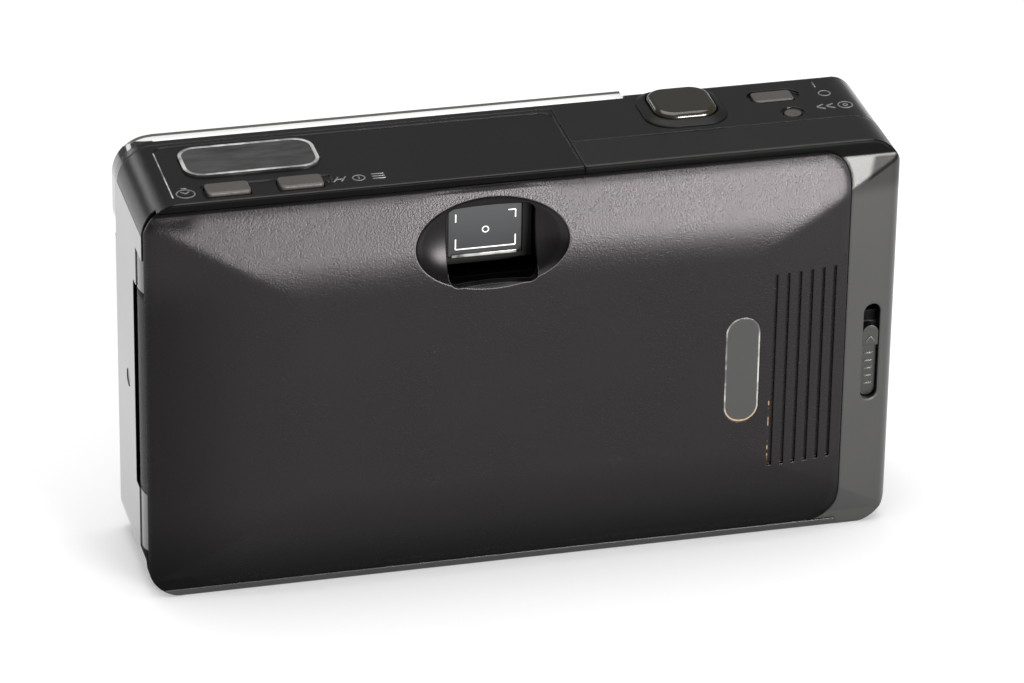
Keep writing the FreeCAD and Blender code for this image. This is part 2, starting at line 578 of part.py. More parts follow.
def rear_cover(forms):
    """Finger grip at the right end and the strip that closes the top behind the split."""
    grip_zone = block("grip_zone", ("SeamX + SeamGap", "HalfWidth"), ("-PillowRise", "CoverSplit - SeamGap"),
                      ("0", "BodyHeight"))
    strip_zone = block("strip_zone", ("PanelEnd + SeamGap", "SeamX + SeamGap + 1"), ("0", "CoverSplit - SeamGap"),
                       ("RoofInside", "BodyHeight"))
    corners = cut("rear_corners",
                  block("corner_band", ("SeamX - DoorCorner", "SeamX + SeamGap + 1"), ("-PillowRise", "DoorRim"),
                        ("DoorLow", "RoofInside + 0.3")),
                  door_zone("corner_clear", "SeamGap", "DoorRim + 1"))
    solid = shared("rear_solid", forms["full"], join("rear_zone", grip_zone, strip_zone, corners))
    hollow = shared("rear_hollow", forms["grip_inside"],
                    outline("rear_hollow_outline", "Wall", ("-PillowRise", "BodyDepth")),
                    block("rear_hollow_zone", ("SeamX + SeamGap + Wall", "HalfWidth"),
                          ("-PillowRise", "BodyDepth"), ("0", "BodyHeight")))
    slot = pill("latch_slot", "Y", ("LatchX", "(SlotLow + SlotHigh) / 2"),
                "(SlotHigh - SlotLow - SlotWidth) / 2", ("-PillowRise", "3"), "SlotWidth / 2")
    claw_room = block("claw_room", ("SeamX", "SeamX + Wall + 1"), ("2.2", "3.8"),
                      ("HookLow + HookHeight + 0.4", "SliderTop + 2.4 + LatchTravel"))
    node("rear_cover", cut("rear_cover", solid, hollow, slot, claw_room))


def top_cover(forms):
    zone = block("panel_zone", ("-HalfWidth", "PanelEnd"), ("0", "PanelFront"), ("PanelLow", "BodyHeight"))
    solid = shared("panel_solid", forms["full"], zone)
    channel = rounded("button_channel", "Z", ("TimerX - RowWidth / 2 - 0.5", "ModeX + RowWidth / 2 + 1.6"),
                      ("RowY - RowLength / 2 - 0.5", "RowY + RowLength / 2 + 0.5"),
                      ("BodyHeight - ChannelDepth", "BodyHeight + 1"), "ButtonCorner")
    holes = [rounded("row_hole_%s" % x, "Z", (x + " - RowWidth / 2 - ButtonPlay", x + " + RowWidth / 2 + ButtonPlay"),
                     ("RowY - RowLength / 2 - ButtonPlay", "RowY + RowLength / 2 + ButtonPlay"),
                     ("RoofInside - 1", "BodyHeight + 1"), "ButtonCorner") for x in ("TimerX", "ModeX")]
    inset = rounded("inset_panel", "Z", ("InsetLeft - HalfWidth", "PanelEnd - 0.3"),
                    ("InsetMargin", "PanelFront - InsetMargin"), ("BodyHeight - InsetDepth", "BodyHeight + 1"),
                    "InsetCorner")
    seat = rounded("lcd_seat", "Z", ("LcdX - LcdWidth / 2 - 0.05", "LcdX + LcdWidth / 2 + 0.05"),
                   ("LcdY - LcdLength / 2 - 0.05", "LcdY + LcdLength / 2 + 0.05"),
                   ("BodyHeight - 0.6", "BodyHeight + 1"), "LcdCorner")
    view = rounded("lcd_view", "Z", ("LcdX - LcdWidth / 2 + LcdRim", "LcdX + LcdWidth / 2 - LcdRim"),
                   ("LcdY - LcdLength / 2 + LcdRim", "LcdY + LcdLength / 2 - LcdRim"),
                   ("RoofInside - 1", "BodyHeight"), "LcdCorner - LcdRim")
    rim_cut = block("panel_rim_cut", ("-HalfWidth - 1", "RimStart - HalfWidth"), ("-1", "RimSetback"),
                    ("0", "BodyHeight - Wall"))
    nub = rod("mode_nub", "Z", ("ModeX + RowWidth / 2 + 0.9", "RowY"),
              ("BodyHeight - 0.6", "BodyHeight - 0.05"), "0.45")
    shell = cut("panel_shell", solid, forms["cavity"], inset, channel, seat, view, rim_cut, *holes)
    node("top_cover", join("top_cover", shell, nub))


def window_panel(forms):
    """Raised panel over the flash and the viewfinder, its brow sloping from the top to the front."""
    front = rounded("slab_front", "Y", ("-HalfWidth", "SlabRight"), ("SlabLow", "BodyHeight"),
                    ("SlabRear", "SlabFront"), "SlabCorner")
    body_edge = outline("slab_outline", "0", ("SlabRear", "SlabFront"))
    brow = prism("slab_brow", "X", [
        ("SlabRear", "SlabLow"), ("SlabFront - SlabBrow", "SlabLow"), ("SlabFront", "SlabLow + SlabBrow"),
        ("SlabFront", "BodyHeight - SlabBevel"), ("SlabFront - 1.2", "BodyHeight - SlabBrow"),
        ("SlabRear", "BodyHeight")], ("-HalfWidth", "SlabRight"))
    blank = shared("slab_blank", front, body_edge, brow)
    pockets = front_windows("slab_window", "SlabFront - 0.5", "SlabFront + 1", "0.05")
    node("window_panel", cut("window_panel", blank, *pockets))


def panel_windows():
    """The panes that fill the pockets of the window panel."""
    panes = [rounded("pane_%d" % index, "Y", ("%s - %s" % (x, half), "%s + %s" % (x, half)),
                     ("%s - %s" % (z, tall), "%s + %s" % (z, tall)),
                     ("SlabFront - 0.45", "SlabFront - 0.05"), "1")
             for index, (x, z, half, tall) in enumerate(WINDOWS)]
    pair = DOC.addObject("Part::Compound", "focus_windows")
    pair.Links = panes[2:4]
    node("flash_window", panes[0])
    node("viewfinder_window", panes[1])
    node("focus_windows", pair)
    node("light_sensor", panes[4])


# Back door

def back_door(forms):
    blank = shared("door_blank", forms["full"], forms["door_zone"])
    boss = ellipsoid("dish_boss", "DoorWall")
    inner_zone = prism("door_inner_zone", "Y", [
        ("DoorWall - HalfWidth", "DoorLow + Wall"), ("SeamX - Wall", "DoorLow + Wall"),
        ("SeamX - Wall", "DoorTop - Wall"), ("DoorWall - HalfWidth", "DoorTop - Wall")],
        ("-PillowRise", "DoorRim + 1"), [("DoorCorner - Wall", range(4))])
    hollow = cut("door_hollow", shared("door_hollow_form", forms["door_inside"], inner_zone), boss)
    left_trim = block("door_left_trim", ("-HalfWidth - 1", "RimStart - HalfWidth"),
                      ("DoorRimLeft", "DoorRim + 1"), ("0", "BodyHeight"))
    dish = ellipsoid("dish", "0")
    eye = rounded("eye_opening", "Y", ("EyeX + 0.15 - EyeWide / 2", "EyeX + 0.15 + EyeWide / 2"),
                  ("EyeZ - 0.6 - EyeTall / 2", "EyeZ - 0.6 + EyeTall / 2"), ("-PillowRise - 1", "3"), "EyeCorner")
    cuts = [hollow, left_trim, dish, eye]
    for index in range(int(size("GrooveCount"))):
        x = "GrooveStart + %d * GroovePitch" % index
        slot = block("groove_slot_%d" % index, (x + " - GrooveWidth / 2", x + " + GrooveWidth / 2"),
                     ("-PillowRise - 1", "0"), ("GrooveLow", "GrooveHigh"))
        cuts.append(cut("groove_%d" % index, slot, forms["groove_floor"]))
    half_gap = "(PaneHeight - PaneWidth) / 2"
    cuts.append(pill("pane_seat", "Y", ("PaneX", "PaneZ"), half_gap,
                     ("-PillowRise - 1", "PaneDepth - PillowRise"), "PaneWidth / 2"))
    cuts.append(pill("pane_hole", "Y", ("PaneX", "PaneZ"), half_gap, ("-PillowRise - 1", "0"),
                     "PaneWidth / 2 - PaneLip"))
    skin = cut("door_skin", blank, *cuts)
    knuckle = hinge_web("door_knuckle", "KnuckleLow", "KnuckleHigh", "-0.9")
    hook = hook_arm()
    whole = join("door_whole", skin, knuckle, hook, *plate_posts())
    pin_hole = rod("door_pin_hole", "Z", ("HingeX", "HingeDepth"), ("KnuckleLow - 1", "KnuckleHigh + 1"),
                   "PinRadius + PinPlay")
    node("back_door", cut("back_door", whole, pin_hole))
    pane_plug = pill("pane_plug", "Y", ("PaneX", "PaneZ"), half_gap,
                     ("PaneDepth - PillowRise - 0.1", "DoorWall - PillowRise"),
                     "PaneWidth / 2 - PaneLip - 0.05")
    pane_head = pill("pane_head", "Y", ("PaneX", "PaneZ"), half_gap,
                     ("0.03 - PillowRise", "PaneDepth - PillowRise"), "PaneWidth / 2 - 0.05")
    node("film_window", join("film_window", pane_head, pane_plug))


def ellipsoid(name, grow):
    """The eyepiece dish, square to a line from the flat of the door to its upper slope."""
    item = DOC.addObject("Part::Ellipsoid", name)
    spread = "sqrt(1 - (DishOffset / (DishDepth + DishOffset)) ^ 2)"
    bind(item, Radius1="EyeHalfHeight / %s + (%s)" % (spread, grow),
         Radius2="EyeHalfWidth / %s + (%s)" % (spread, grow),
         Radius3="DishDepth + DishOffset + (%s)" % grow)
    item.Placement = FreeCAD.Placement(FreeCAD.Vector(), FreeCAD.Rotation(FreeCAD.Vector(-1, 0, 0), 10))
    item.setExpression("Placement.Rotation.Angle", formula("DishTilt"))
    place(item, "EyeX", "DishSeat - DishOffset * cos(DishTilt)", "EyeZ + DishOffset * sin(DishTilt)")
    return item


def hook_arm():
    """The hook behind the door's free edge, which the latch claw holds."""
    span = ("HookLow", "HookLow + HookHeight")
    arm = block("hook_stem", ("SeamX - Wall - 1.2", "SeamX - Wall"), ("-1.3", "5.4"), span)
    beak = block("hook_beak", ("SeamX - Wall - 1.2", "SeamX - 0.1"), ("4", "5.4"), span)
    root = block("hook_root", ("SeamX - Wall - 1.2", "SeamX - 0.4"), ("-1.3", "0.4"), span)
    return join("hook_arm", arm, beak, root)


def plate_posts():
    """Posts inside the door that the pressure plate slides on."""
    return [rod("plate_post_%d_%d" % (i, j), "Y", (x, z), ("-PillowRise + DoorWall - 0.2", "FilmPlane - 2.2"), "0.9")
            for i, x in enumerate(PLATE_X) for j, z in enumerate(PLATE_Z)]


PLATE_X = ("GateX - 15", "GateX + 15")
PLATE_Z = ("LensZ - 12", "LensZ + 12")


def door_fittings(forms):
    """Pressure plate, its springs, the cassette spring and the seal of the door."""
    low, high = "FilmPlane - PlatePlay - PlateThick", "FilmPlane - PlatePlay"
    plate = rounded("plate_blank", "Y", ("GateX - 22.5", "GateX + 22.5"), ("LensZ - 16.4", "LensZ + 16.4"),
                    (low, high), "2")
    sockets = [rod("plate_socket_%d_%d" % (i, j), "Y", (x, z), ("FilmPlane - 3.2", low), "1.6")
               for i, x in enumerate(PLATE_X) for j, z in enumerate(PLATE_Z)]
    bores = [rod("plate_bore_%d_%d" % (i, j), "Y", (x, z), ("FilmPlane - 4", low), "1")
             for i, x in enumerate(PLATE_X) for j, z in enumerate(PLATE_Z)]
    node("pressure_plate", cut("pressure_plate", join("plate_solid", plate, *sockets), *bores))
    back = "DoorWall - PillowRise"
    leaves = []
    for index, side in enumerate((-1, 1)):
        mid = "GateX + %d" % (8 * side)
        foot = block("leaf_foot_%d" % index, (mid + " - 2", mid + " + 2"), (back, back + " + 0.25"),
                     ("LensZ - 12", "LensZ + 12"))
        rise = prism("leaf_bow_%d" % index, "X", [
            (back + " + 0.25", "LensZ - 11"), (back + " + 0.25", "LensZ - 10"), ("FilmPlane - 1.5", "LensZ - 1"),
            ("FilmPlane - 1.5", "LensZ + 1"), (back + " + 0.25", "LensZ + 10"), (back + " + 0.25", "LensZ + 11"),
            ("FilmPlane - 1.25", "LensZ + 1.2"), ("FilmPlane - 1.25", "LensZ - 1.2")],
            (mid + " - 2", mid + " + 2"))
        leaves += [foot, rise]
    node("plate_springs", join("plate_springs", *leaves))
    node("cassette_spring", join("cassette_spring", *[
        block("cassette_leaf_%d" % index, ("CassetteX - 9", "CassetteX - 6.4"), (back, back + " + 0.3"),
              ("LensZ + %d" % (8 * side - 3), "LensZ + %d" % (8 * side + 3)))
        for index, side in enumerate((-1, 1))]))
    strip = block("seal_strip", ("RimStart + 1 - HalfWidth", "RimStart + 3.4 - HalfWidth"),
                  ("-PillowRise", "1.2"), ("DoorLow + Wall + 4", "DoorTop - Wall - 4"))
    node("door_seal", shared("door_seal", forms["door_inside"], strip))


def hinge_pin():
    node("hinge_pin", rod("hinge_pin", "Z", ("HingeX", "HingeDepth"), ("HingeLow", "HingeHigh - 0.4"),
                          "PinRadius"))


# Chassis and film path

def chassis():
    floor = ("FloorLevel", "FloorLevel + FloorWall")
    tall = ("FloorLevel", "ChamberTop + FloorWall")
    room = ("FloorLevel + FloorWall", "ChamberTop")
    cassette = block("cassette_block", ("CassetteX - CassetteBore - 0.9", "CassetteX + CassetteBore + 0.9"),
                     ("ChassisRear", "FrontInside - 0.1"), tall)
    spool = block("spool_block", ("SpoolX - SpoolBore - 1.2", "SpoolX + SpoolBore + 1"),
                  ("ChassisRear", "SpoolY + SpoolBore + 0.7"), tall)
    gate = block("gate_wall", ("SpoolX + SpoolBore", "CassetteX - CassetteBore"),
                 ("FilmPlane + 0.4", "FilmPlane + 0.4 + GateWall"), ("FloorLevel", "GateTop"))
    shelf = block("gate_shelf", ("SpoolX + SpoolBore", "CassetteX - CassetteBore"),
                  ("FilmPlane + 0.4", "FrontInside - 2"), floor)
    tunnel = block("light_box", ("GateX - GateWidth / 2 - BoxWall", "GateX + GateWidth / 2 + BoxWall"),
                   ("FilmPlane + 1", "FilmPlane + 1 + BoxDepth"),
                   ("LensZ - GateHeight / 2 - BoxWall", "LensZ + GateHeight / 2 + BoxWall"))
    feet = [rod("chassis_foot_%d" % index, "Z", spot, ("Wall", "FloorLevel + 0.2"), "1.6")
            for index, spot in enumerate(BASE_SCREWS)]
    side_boss = rod("side_boss", "X", SIDE_SCREW, ("Wall - HalfWidth + 0.1", "SpoolX - SpoolBore - 0.2"), "1.9")
    solid = join("chassis_solid", cassette, spool, gate, shelf, tunnel, side_boss, *feet)
    behind = "-1"
    cuts = [
        rod("cassette_bore", "Z", ("CassetteX", "CassetteY"), room, "CassetteBore"),
        block("cassette_mouth", ("CassetteX - CassetteBore", "CassetteX + CassetteBore"),
              (behind, "CassetteY"), room),
        block("film_lip", ("CassetteX - CassetteBore - 1", "CassetteX"), (behind, "FilmPlane + 0.9"), room),
        rod("spool_bore", "Z", ("SpoolX", "SpoolY"), room, "SpoolBore"),
        block("spool_mouth", ("SpoolX - SpoolBore", "SpoolX + SpoolBore"), (behind, "SpoolY"), room),
        block("spool_lip", ("SpoolX", "SpoolX + SpoolBore + 2"), (behind, "FilmPlane + 0.4"), room),
        block("film_gate", ("GateX - GateWidth / 2", "GateX + GateWidth / 2"), (behind, "FilmPlane + BoxDepth + 2"),
              ("LensZ - GateHeight / 2", "LensZ + GateHeight / 2")),
        block("sprocket_room", ("SprocketX - SprocketTip - 0.3", "SprocketX + SprocketTip + 0.3"),
              (behind, "SprocketY + 3"), ("LensZ - 20.2", "LensZ - 15.4")),
        block("web_room", ("-HalfWidth", "SlabRight + 1.8"), ("SlabRear - WebThick - 0.2", "BodyDepth"),
              ("SlabLow - 1.4", "BodyHeight")),
        rod("mount_room", "Y", ("LensX", "LensZ"), ("FilmPlane + 1 + BoxDepth", "BodyDepth"),
            "BarrelOuter + BarrelPlay + MountWall + MountFlange + 0.1"),
        rod("fork_hole", "Z", ("CassetteX", "CassetteY"), floor, "2.6"),
        rod("hub_hole", "Z", ("SpoolX", "SpoolY"), floor, "2.4"),
        rod("motor_hole", "Z", ("SpoolX", "SpoolY"), ("ChamberTop", "ChamberTop + FloorWall"), "MotorRadius + 0.05"),
        rod("sprocket_hole", "Z", ("SprocketX", "SprocketY"), floor, "1.05"),
    ] + [rod("foot_hole_%d" % index, "Z", spot, ("Wall", "FloorLevel"), "0.75")
         for index, spot in enumerate(BASE_SCREWS)]
    cuts += [rod("side_boss_hole", "X", SIDE_SCREW, ("Wall - HalfWidth", "SpoolX - SpoolBore - 1.2"), "0.75")]
    cuts += dx_pads("contact_seat")
    rails = [block("rail_%d" % index, ("SprocketX + 3.5", "GateX + 21"), ("FilmPlane", "FilmPlane + 0.6"),
                   ("%s - 0.5" % z, "%s + 0.5" % z))
             for index, z in enumerate(("LensZ - 18.2", "LensZ - 13.2", "LensZ + 13.2", "GateTop - 3.1"))]
    studs = [rod("idler_stud_%d" % index, "Z", (x, "CassetteY"), ("GearLow - 0.2", "FloorLevel + 0.2"), "1")
             for index, x in enumerate(IDLERS)]
    studs.append(rod("compound_stud", "Z", ("SpoolX + GearPitch", "SpoolY"), ("GearLow - 0.2", "FloorLevel + 0.2"), "1"))
    node("chassis", join("chassis", cut("chassis_cut", solid, *cuts), *rails, *studs))


IDLERS = ("CassetteX - TrainPitch", "CassetteX - 2 * TrainPitch", "CassetteX - 3 * TrainPitch")


def film_drive():
    """Motor, pinion, compound gear and take-up spool, then the rewind train."""
    gear = ("GearLow", "GearLow + GearThick")
    upper = ("UpperGear", "UpperGear + GearThick")
    node("drive_motor", turned("drive_motor", "Z", [
        ("0", "UpperGear + GearThick + 0.4"), ("MotorShaft", "UpperGear + GearThick + 0.4"),
        ("MotorShaft", "10"), ("2", "10"), ("2", "11"), ("MotorRadius", "11"), ("MotorRadius", "ChamberTop + FloorWall + 0.4"),
        ("0", "ChamberTop + FloorWall + 0.4")], "SpoolX", "SpoolY", "0"))
    pinion = gear_wheel("pinion", "PinionTeeth", ("SpoolX", "SpoolY"), gear, "0.3", 180.0 / size("PinionTeeth"))
    shaft = rod("pinion_shaft", "Z", ("SpoolX", "SpoolY"), ("GearLow", "UpperGear + GearThick + 0.3"), "MotorShaft")
    node("motor_pinion", join("motor_pinion", pinion, shaft))
    spot = ("SpoolX + GearPitch", "SpoolY")
    wheel = gear_wheel("wheel", "WheelTeeth", spot, gear, "1.06")
    small = gear_wheel("small", "SmallTeeth", spot, ("GearLow + GearThick - 0.1", "UpperGear + GearThick"), "1.06")
    node("compound_gear", join("compound_gear", wheel, small))
    ring = gear_wheel("spool_gear", "SpoolTeeth", ("SpoolX", "SpoolY"), upper, "MotorShaft + 0.08",
                      180.0 / size("SpoolTeeth"))
    tube = turned("spool_tube", "Z", [
        ("MotorShaft + 0.08", "UpperGear + GearThick - 0.1"), ("2.3", "UpperGear + GearThick - 0.1"),
        ("2.3", "FloorLevel + FloorWall + 0.3"), ("SpoolRadius + 1.2", "FloorLevel + FloorWall + 0.3"),
        ("SpoolRadius + 1.2", "FloorLevel + FloorWall + 1.3"), ("SpoolRadius", "FloorLevel + FloorWall + 1.3"),
        ("SpoolRadius", "ChamberTop - 2"), ("SpoolRadius - SpoolWall", "ChamberTop - 2"),
        ("SpoolRadius - SpoolWall", "8.6"), ("MotorShaft + 0.08", "8.6")], "SpoolX", "SpoolY", "0")
    slots = [block("spool_slot_%d" % index, ("SpoolX - 1", "SpoolX + 1"),
                   ("SpoolY - SpoolRadius - 1" if side < 0 else "SpoolY + SpoolRadius - SpoolWall - 0.6",
                    "SpoolY - SpoolRadius + SpoolWall + 0.6" if side < 0 else "SpoolY + SpoolRadius + 1"),
                   ("LensZ - 16", "ChamberTop - 7.5")) for index, side in enumerate((-1, 1))]
    node("take_up_spool", join("take_up_spool", cut("spool_slotted", tube, *slots), ring))
    pitch = "TrainPitch / TrainTeeth"
    for index, (x, name) in enumerate(zip(IDLERS, ("idler_gear_right", "idler_gear_middle", "idler_gear_left"))):
        phase = 180.0 / size("TrainTeeth") if index % 2 == 0 else 0.0
        node(name, gear_wheel(name + "_wheel", "TrainTeeth", (x, "CassetteY"), gear, "1.06", phase, pitch))
    fork_gear = gear_wheel("fork_gear", "TrainTeeth", ("CassetteX", "CassetteY"), gear, "0.5", 0.0, pitch)
    shaft = rod("fork_shaft", "Z", ("CassetteX", "CassetteY"), ("GearLow", "FloorLevel + FloorWall + 1.2"), "2.5")
    plate = rod("fork_plate", "Z", ("CassetteX", "CassetteY"),
                ("FloorLevel + FloorWall + 0.3", "FloorLevel + FloorWall + 1.2"), "4.6")
    prongs = [block("fork_prong_%d" % index, ("CassetteX + %s - 0.6" % dx, "CassetteX + %s + 0.6" % dx),
                    ("CassetteY - 0.5", "CassetteY + 0.5"), ("FloorLevel + FloorWall + 1", "FloorLevel + FloorWall + 3.4"))
              for index, dx in enumerate(("(-2)", "2"))]
    node("rewind_fork", join("rewind_fork", fork_gear, shaft, plate, *prongs))
    low = "LensZ - 19.6"
    wheel = rod("sprocket_wheel_disc", "Z", ("SprocketX", "SprocketY"), (low, low + " + 3.6"), "SprocketRoot")
    axle = rod("sprocket_axle", "Z", ("SprocketX", "SprocketY"), ("FloorLevel", low + " + 6"), "1")
    count = int(size("SprocketTeeth"))
    teeth = [sprocket_tooth(index, 360.0 * index / count, low) for index in range(count)]
    node("sprocket_wheel", join("sprocket_wheel", wheel, axle, *teeth))


def sprocket_tooth(index, turn, low):
    """One film tooth, standing out of the wheel at its own angle."""
    tooth = DOC.addObject("Part::Box", "sprocket_tooth_%d" % index)
    bind(tooth, Length="SprocketTip - SprocketRoot + 0.6", Width="1.2", Height="1.6")
    tooth.Placement = FreeCAD.Placement(FreeCAD.Vector(), FreeCAD.Rotation(FreeCAD.Vector(0, 0, 1), turn))
    reach = "(SprocketRoot - 0.6)"
    cosine, sine = math.cos(math.radians(turn)), math.sin(math.radians(turn))
    place(tooth, "SprocketX + %s * %.6f + %.6f" % (reach, cosine, 0.6 * sine),
          "SprocketY + %s * %.6f - %.6f" % (reach, sine, 0.6 * cosine), low + " + 1")
    return tooth


def dx_pads(name):
    return [block("%s_%d_%d" % (name, row, column),
                  ("CassetteX + CassetteBore - 0.9", "CassetteX + CassetteBore + 0.5"),
                  ("CassetteY + %d" % (1 + 3 * column), "CassetteY + %d" % (2 + 3 * column)),
                  ("LensZ + %d" % (6 * row - 10), "LensZ + %d" % (6 * row - 7)))
            for row in range(4) for column in range(2)]


def dx_contacts():
    node("film_contacts", join("film_contacts", *dx_pads("contact_pad")))


# Lens

def lens_group():
    hole = "BarrelOuter + BarrelPlay"
    flange = hole + " + MountWall + MountFlange"
    node("lens_mount", turned("lens_mount", "Y", [
        (hole, "FilmPlane + 1.05 + BoxDepth"), (flange, "FilmPlane + 1.05 + BoxDepth"),
        (flange, "FilmPlane + 2 + BoxDepth"), (hole + " + MountWall", "FilmPlane + 2 + BoxDepth"),
        (hole + " + MountWall", "BodyDepth + 0.4"), (hole, "BodyDepth + 0.4")], "LensX", "0", "LensZ"))
    node("lens_ring", turned("lens_ring", "Y", [
        (hole + " + MountWall + 0.05", "BodyDepth + 0.02"), ("RingRadius + 1.2", "BodyDepth + 0.02"),
        ("RingRadius + 1.2", "BodyDepth + 1.2"), ("RingRadius", "BodyDepth + 1.6"),
        ("RingRadius - 1", "RingFront - 1"), ("RingRadius - 2", "RingFront"), (hole + " + 0.3", "RingFront"),
        (hole + " + 0.3", "BodyDepth + 0.5"), (hole + " + MountWall + 0.05", "BodyDepth + 0.5")],
        "LensX", "0", "LensZ"))
    inner = "BarrelOuter - BarrelWall"
    tip = "BarrelTip"
    barrel_profile = [
        (inner, "FilmPlane + 2.6 + BoxDepth"), ("BarrelOuter", "FilmPlane + 2.6 + BoxDepth"),
        ("BarrelOuter", tip + " - 0.5"), ("BarrelOuter - 0.5", tip), ("OpenRadius + 0.6", tip), ("OpenRadius", tip + " - 0.6"),
        ("OpenRadius", tip + " - 0.8"), (inner, tip + " - 0.8"), (inner, tip + " - 2.6"),
        ("7.2", tip + " - 2.6"), ("7.2", tip + " - 7.2"), ("ShutterOpen + 0.4", tip + " - 7.2"),
        ("ShutterOpen + 0.4", tip + " - 7.9"), (inner, tip + " - 7.9")]
    node("lens_barrel", turned("lens_barrel", "Y", barrel_profile, "LensX", "0", "LensZ"))
    node("front_lens", turned("front_lens", "Y", [
        ("0", tip + " - 7.1"), ("7.1", tip + " - 7.1"), ("7.1", tip + " - 4.2"), ("5.2", tip + " - 3.4"),
        ("2.8", tip + " - 3"), ("0", tip + " - 2.9")], "LensX", "0", "LensZ"))
    shutter = turned("shutter_disc", "Y", [
        ("ShutterOpen", tip + " - 10.6"), (inner + " - 0.05", tip + " - 10.6"), (inner + " - 0.05", tip + " - 9.9"),
        ("ShutterOpen", tip + " - 9.9")], "LensX", "0", "LensZ")
    pivots = [rod("shutter_pivot_%s" % side, "Y", ("LensX %s ShutterArm" % sign, "LensZ"),
                  (tip + " - 10", tip + " - 8.7"), "0.6") for side, sign in (("left", "-"), ("right", "+"))]
    node("shutter_plate", join("shutter_plate", shutter, *pivots))
    node("rear_lens", turned("rear_lens", "Y", [
        ("0", tip + " - 12.6"), ("4.6", tip + " - 12.2"), ("4.6", tip + " - 10.62"), ("0", tip + " - 10.62")],
        "LensX", "0", "LensZ"))
    for name, side in (("barrier_blade_upper", 1), ("barrier_blade_lower", -1)):
        disc = rod(name + "_disc", "Y", ("LensX", "LensZ"), (tip + " - 1.7", tip + " - 1.7 + BladeThick"), "BladeRadius")
        low, high = ("LensZ + 0.05", "LensZ + 9") if side > 0 else ("LensZ - 9", "LensZ - 0.05")
        half = shared(name, disc, block(name + "_half", ("LensX - 9", "LensX + 9"), ("0", "RingFront"), (low, high)))
        node(name, half)
    for name, side, depth in (("shutter_blade_left", -1, "9.1"), ("shutter_blade_right", 1, "9.6")):
        pivot = "LensX + %d * ShutterArm" % side
        span = (tip + " - %s" % depth, tip + " - %s + ShutterThick" % depth)
        disc = rod(name + "_disc", "Y", ("LensX", "LensZ"), span, "ShutterDisc")
        ends = (pivot, "LensX") if side < 0 else ("LensX", pivot)
        arm = block(name + "_arm", ends, span, ("LensZ - 1", "LensZ + 1"))
        eye = rod(name + "_eye", "Y", (pivot, "LensZ"), span, "1.4")
        hole = rod(name + "_hole", "Y", (pivot, "LensZ"), span, "0.66")
        node(name, cut(name, join(name + "_solid", disc, arm, eye), hole))


# Viewfinder, flash and electronics

def viewfinder():
    outer = block("finder_block", ("EyeX - 7.5", "EyeX + 7.5"), ("2.2", "SlabRear - 1.3"),
                  ("BodyHeight - 17.5", "BodyHeight - 3.5"))
    tunnel = block("finder_tunnel", ("EyeX - 5.7", "EyeX + 5.7"), ("0", "BodyDepth"),
                   ("BodyHeight - 14.1", "BodyHeight - 5.3"))
    seat = block("finder_seat", ("EyeX - 6.2", "EyeX + 5.9"), ("0", "3.6"), ("BodyHeight - 14.9", "BodyHeight - 4.6"))
    step = block("finder_step", ("EyeX - 8", "EyeX + 8"), ("0", "5"), ("BodyHeight - 20", "BodyHeight - 15.8"))
    node("viewfinder_body", cut("viewfinder_body", outer, tunnel, seat, step))
    node("eyepiece_glass", block("eyepiece_glass", ("EyeX - 6.1", "EyeX + 5.8"), ("2.4", "3.5"),
                                 ("BodyHeight - 14.8", "BodyHeight - 4.7")))
    node("finder_lens", turned("finder_lens", "Y", [
        ("0", "15"), ("4.2", "15"), ("4.2", "17.6"), ("2.6", "18.4"), ("0", "18.8")], "EyeX", "0",
        "BodyHeight - 9.7"))


def flash_unit():
    outer = prism("reflector_blank", "X", [
        ("SlabRear - 1.3", "WindowZ - 4.6"), ("SlabRear - 1.3", "WindowZ + 3.2"),
        ("SlabRear - 6.2", "WindowZ + 1.4"), ("SlabRear - 6.2", "WindowZ - 2.8")], ("FlashX - 9.4", "FlashX + 9.4"))
    inner = prism("reflector_dish", "X", [
        ("SlabRear - 1", "WindowZ - 4.2"), ("SlabRear - 1", "WindowZ + 2.8"),
        ("SlabRear - 5.6", "WindowZ + 1"), ("SlabRear - 5.6", "WindowZ - 2.4")], ("FlashX - 8.8", "FlashX + 8.8"))
    node("flash_reflector", cut("flash_reflector", outer, inner))
    node("flash_tube", rod("flash_tube", "X", ("SlabRear - 4.2", "WindowZ - 0.7"), ("FlashX - 8.8", "FlashX + 8.8"), "0.9"))
    node("flash_capacitor", rod("flash_capacitor", "X", ("11.5", "WindowZ - 1"), ("FlashX - 9.4", "FlashX + 19"), "4"))


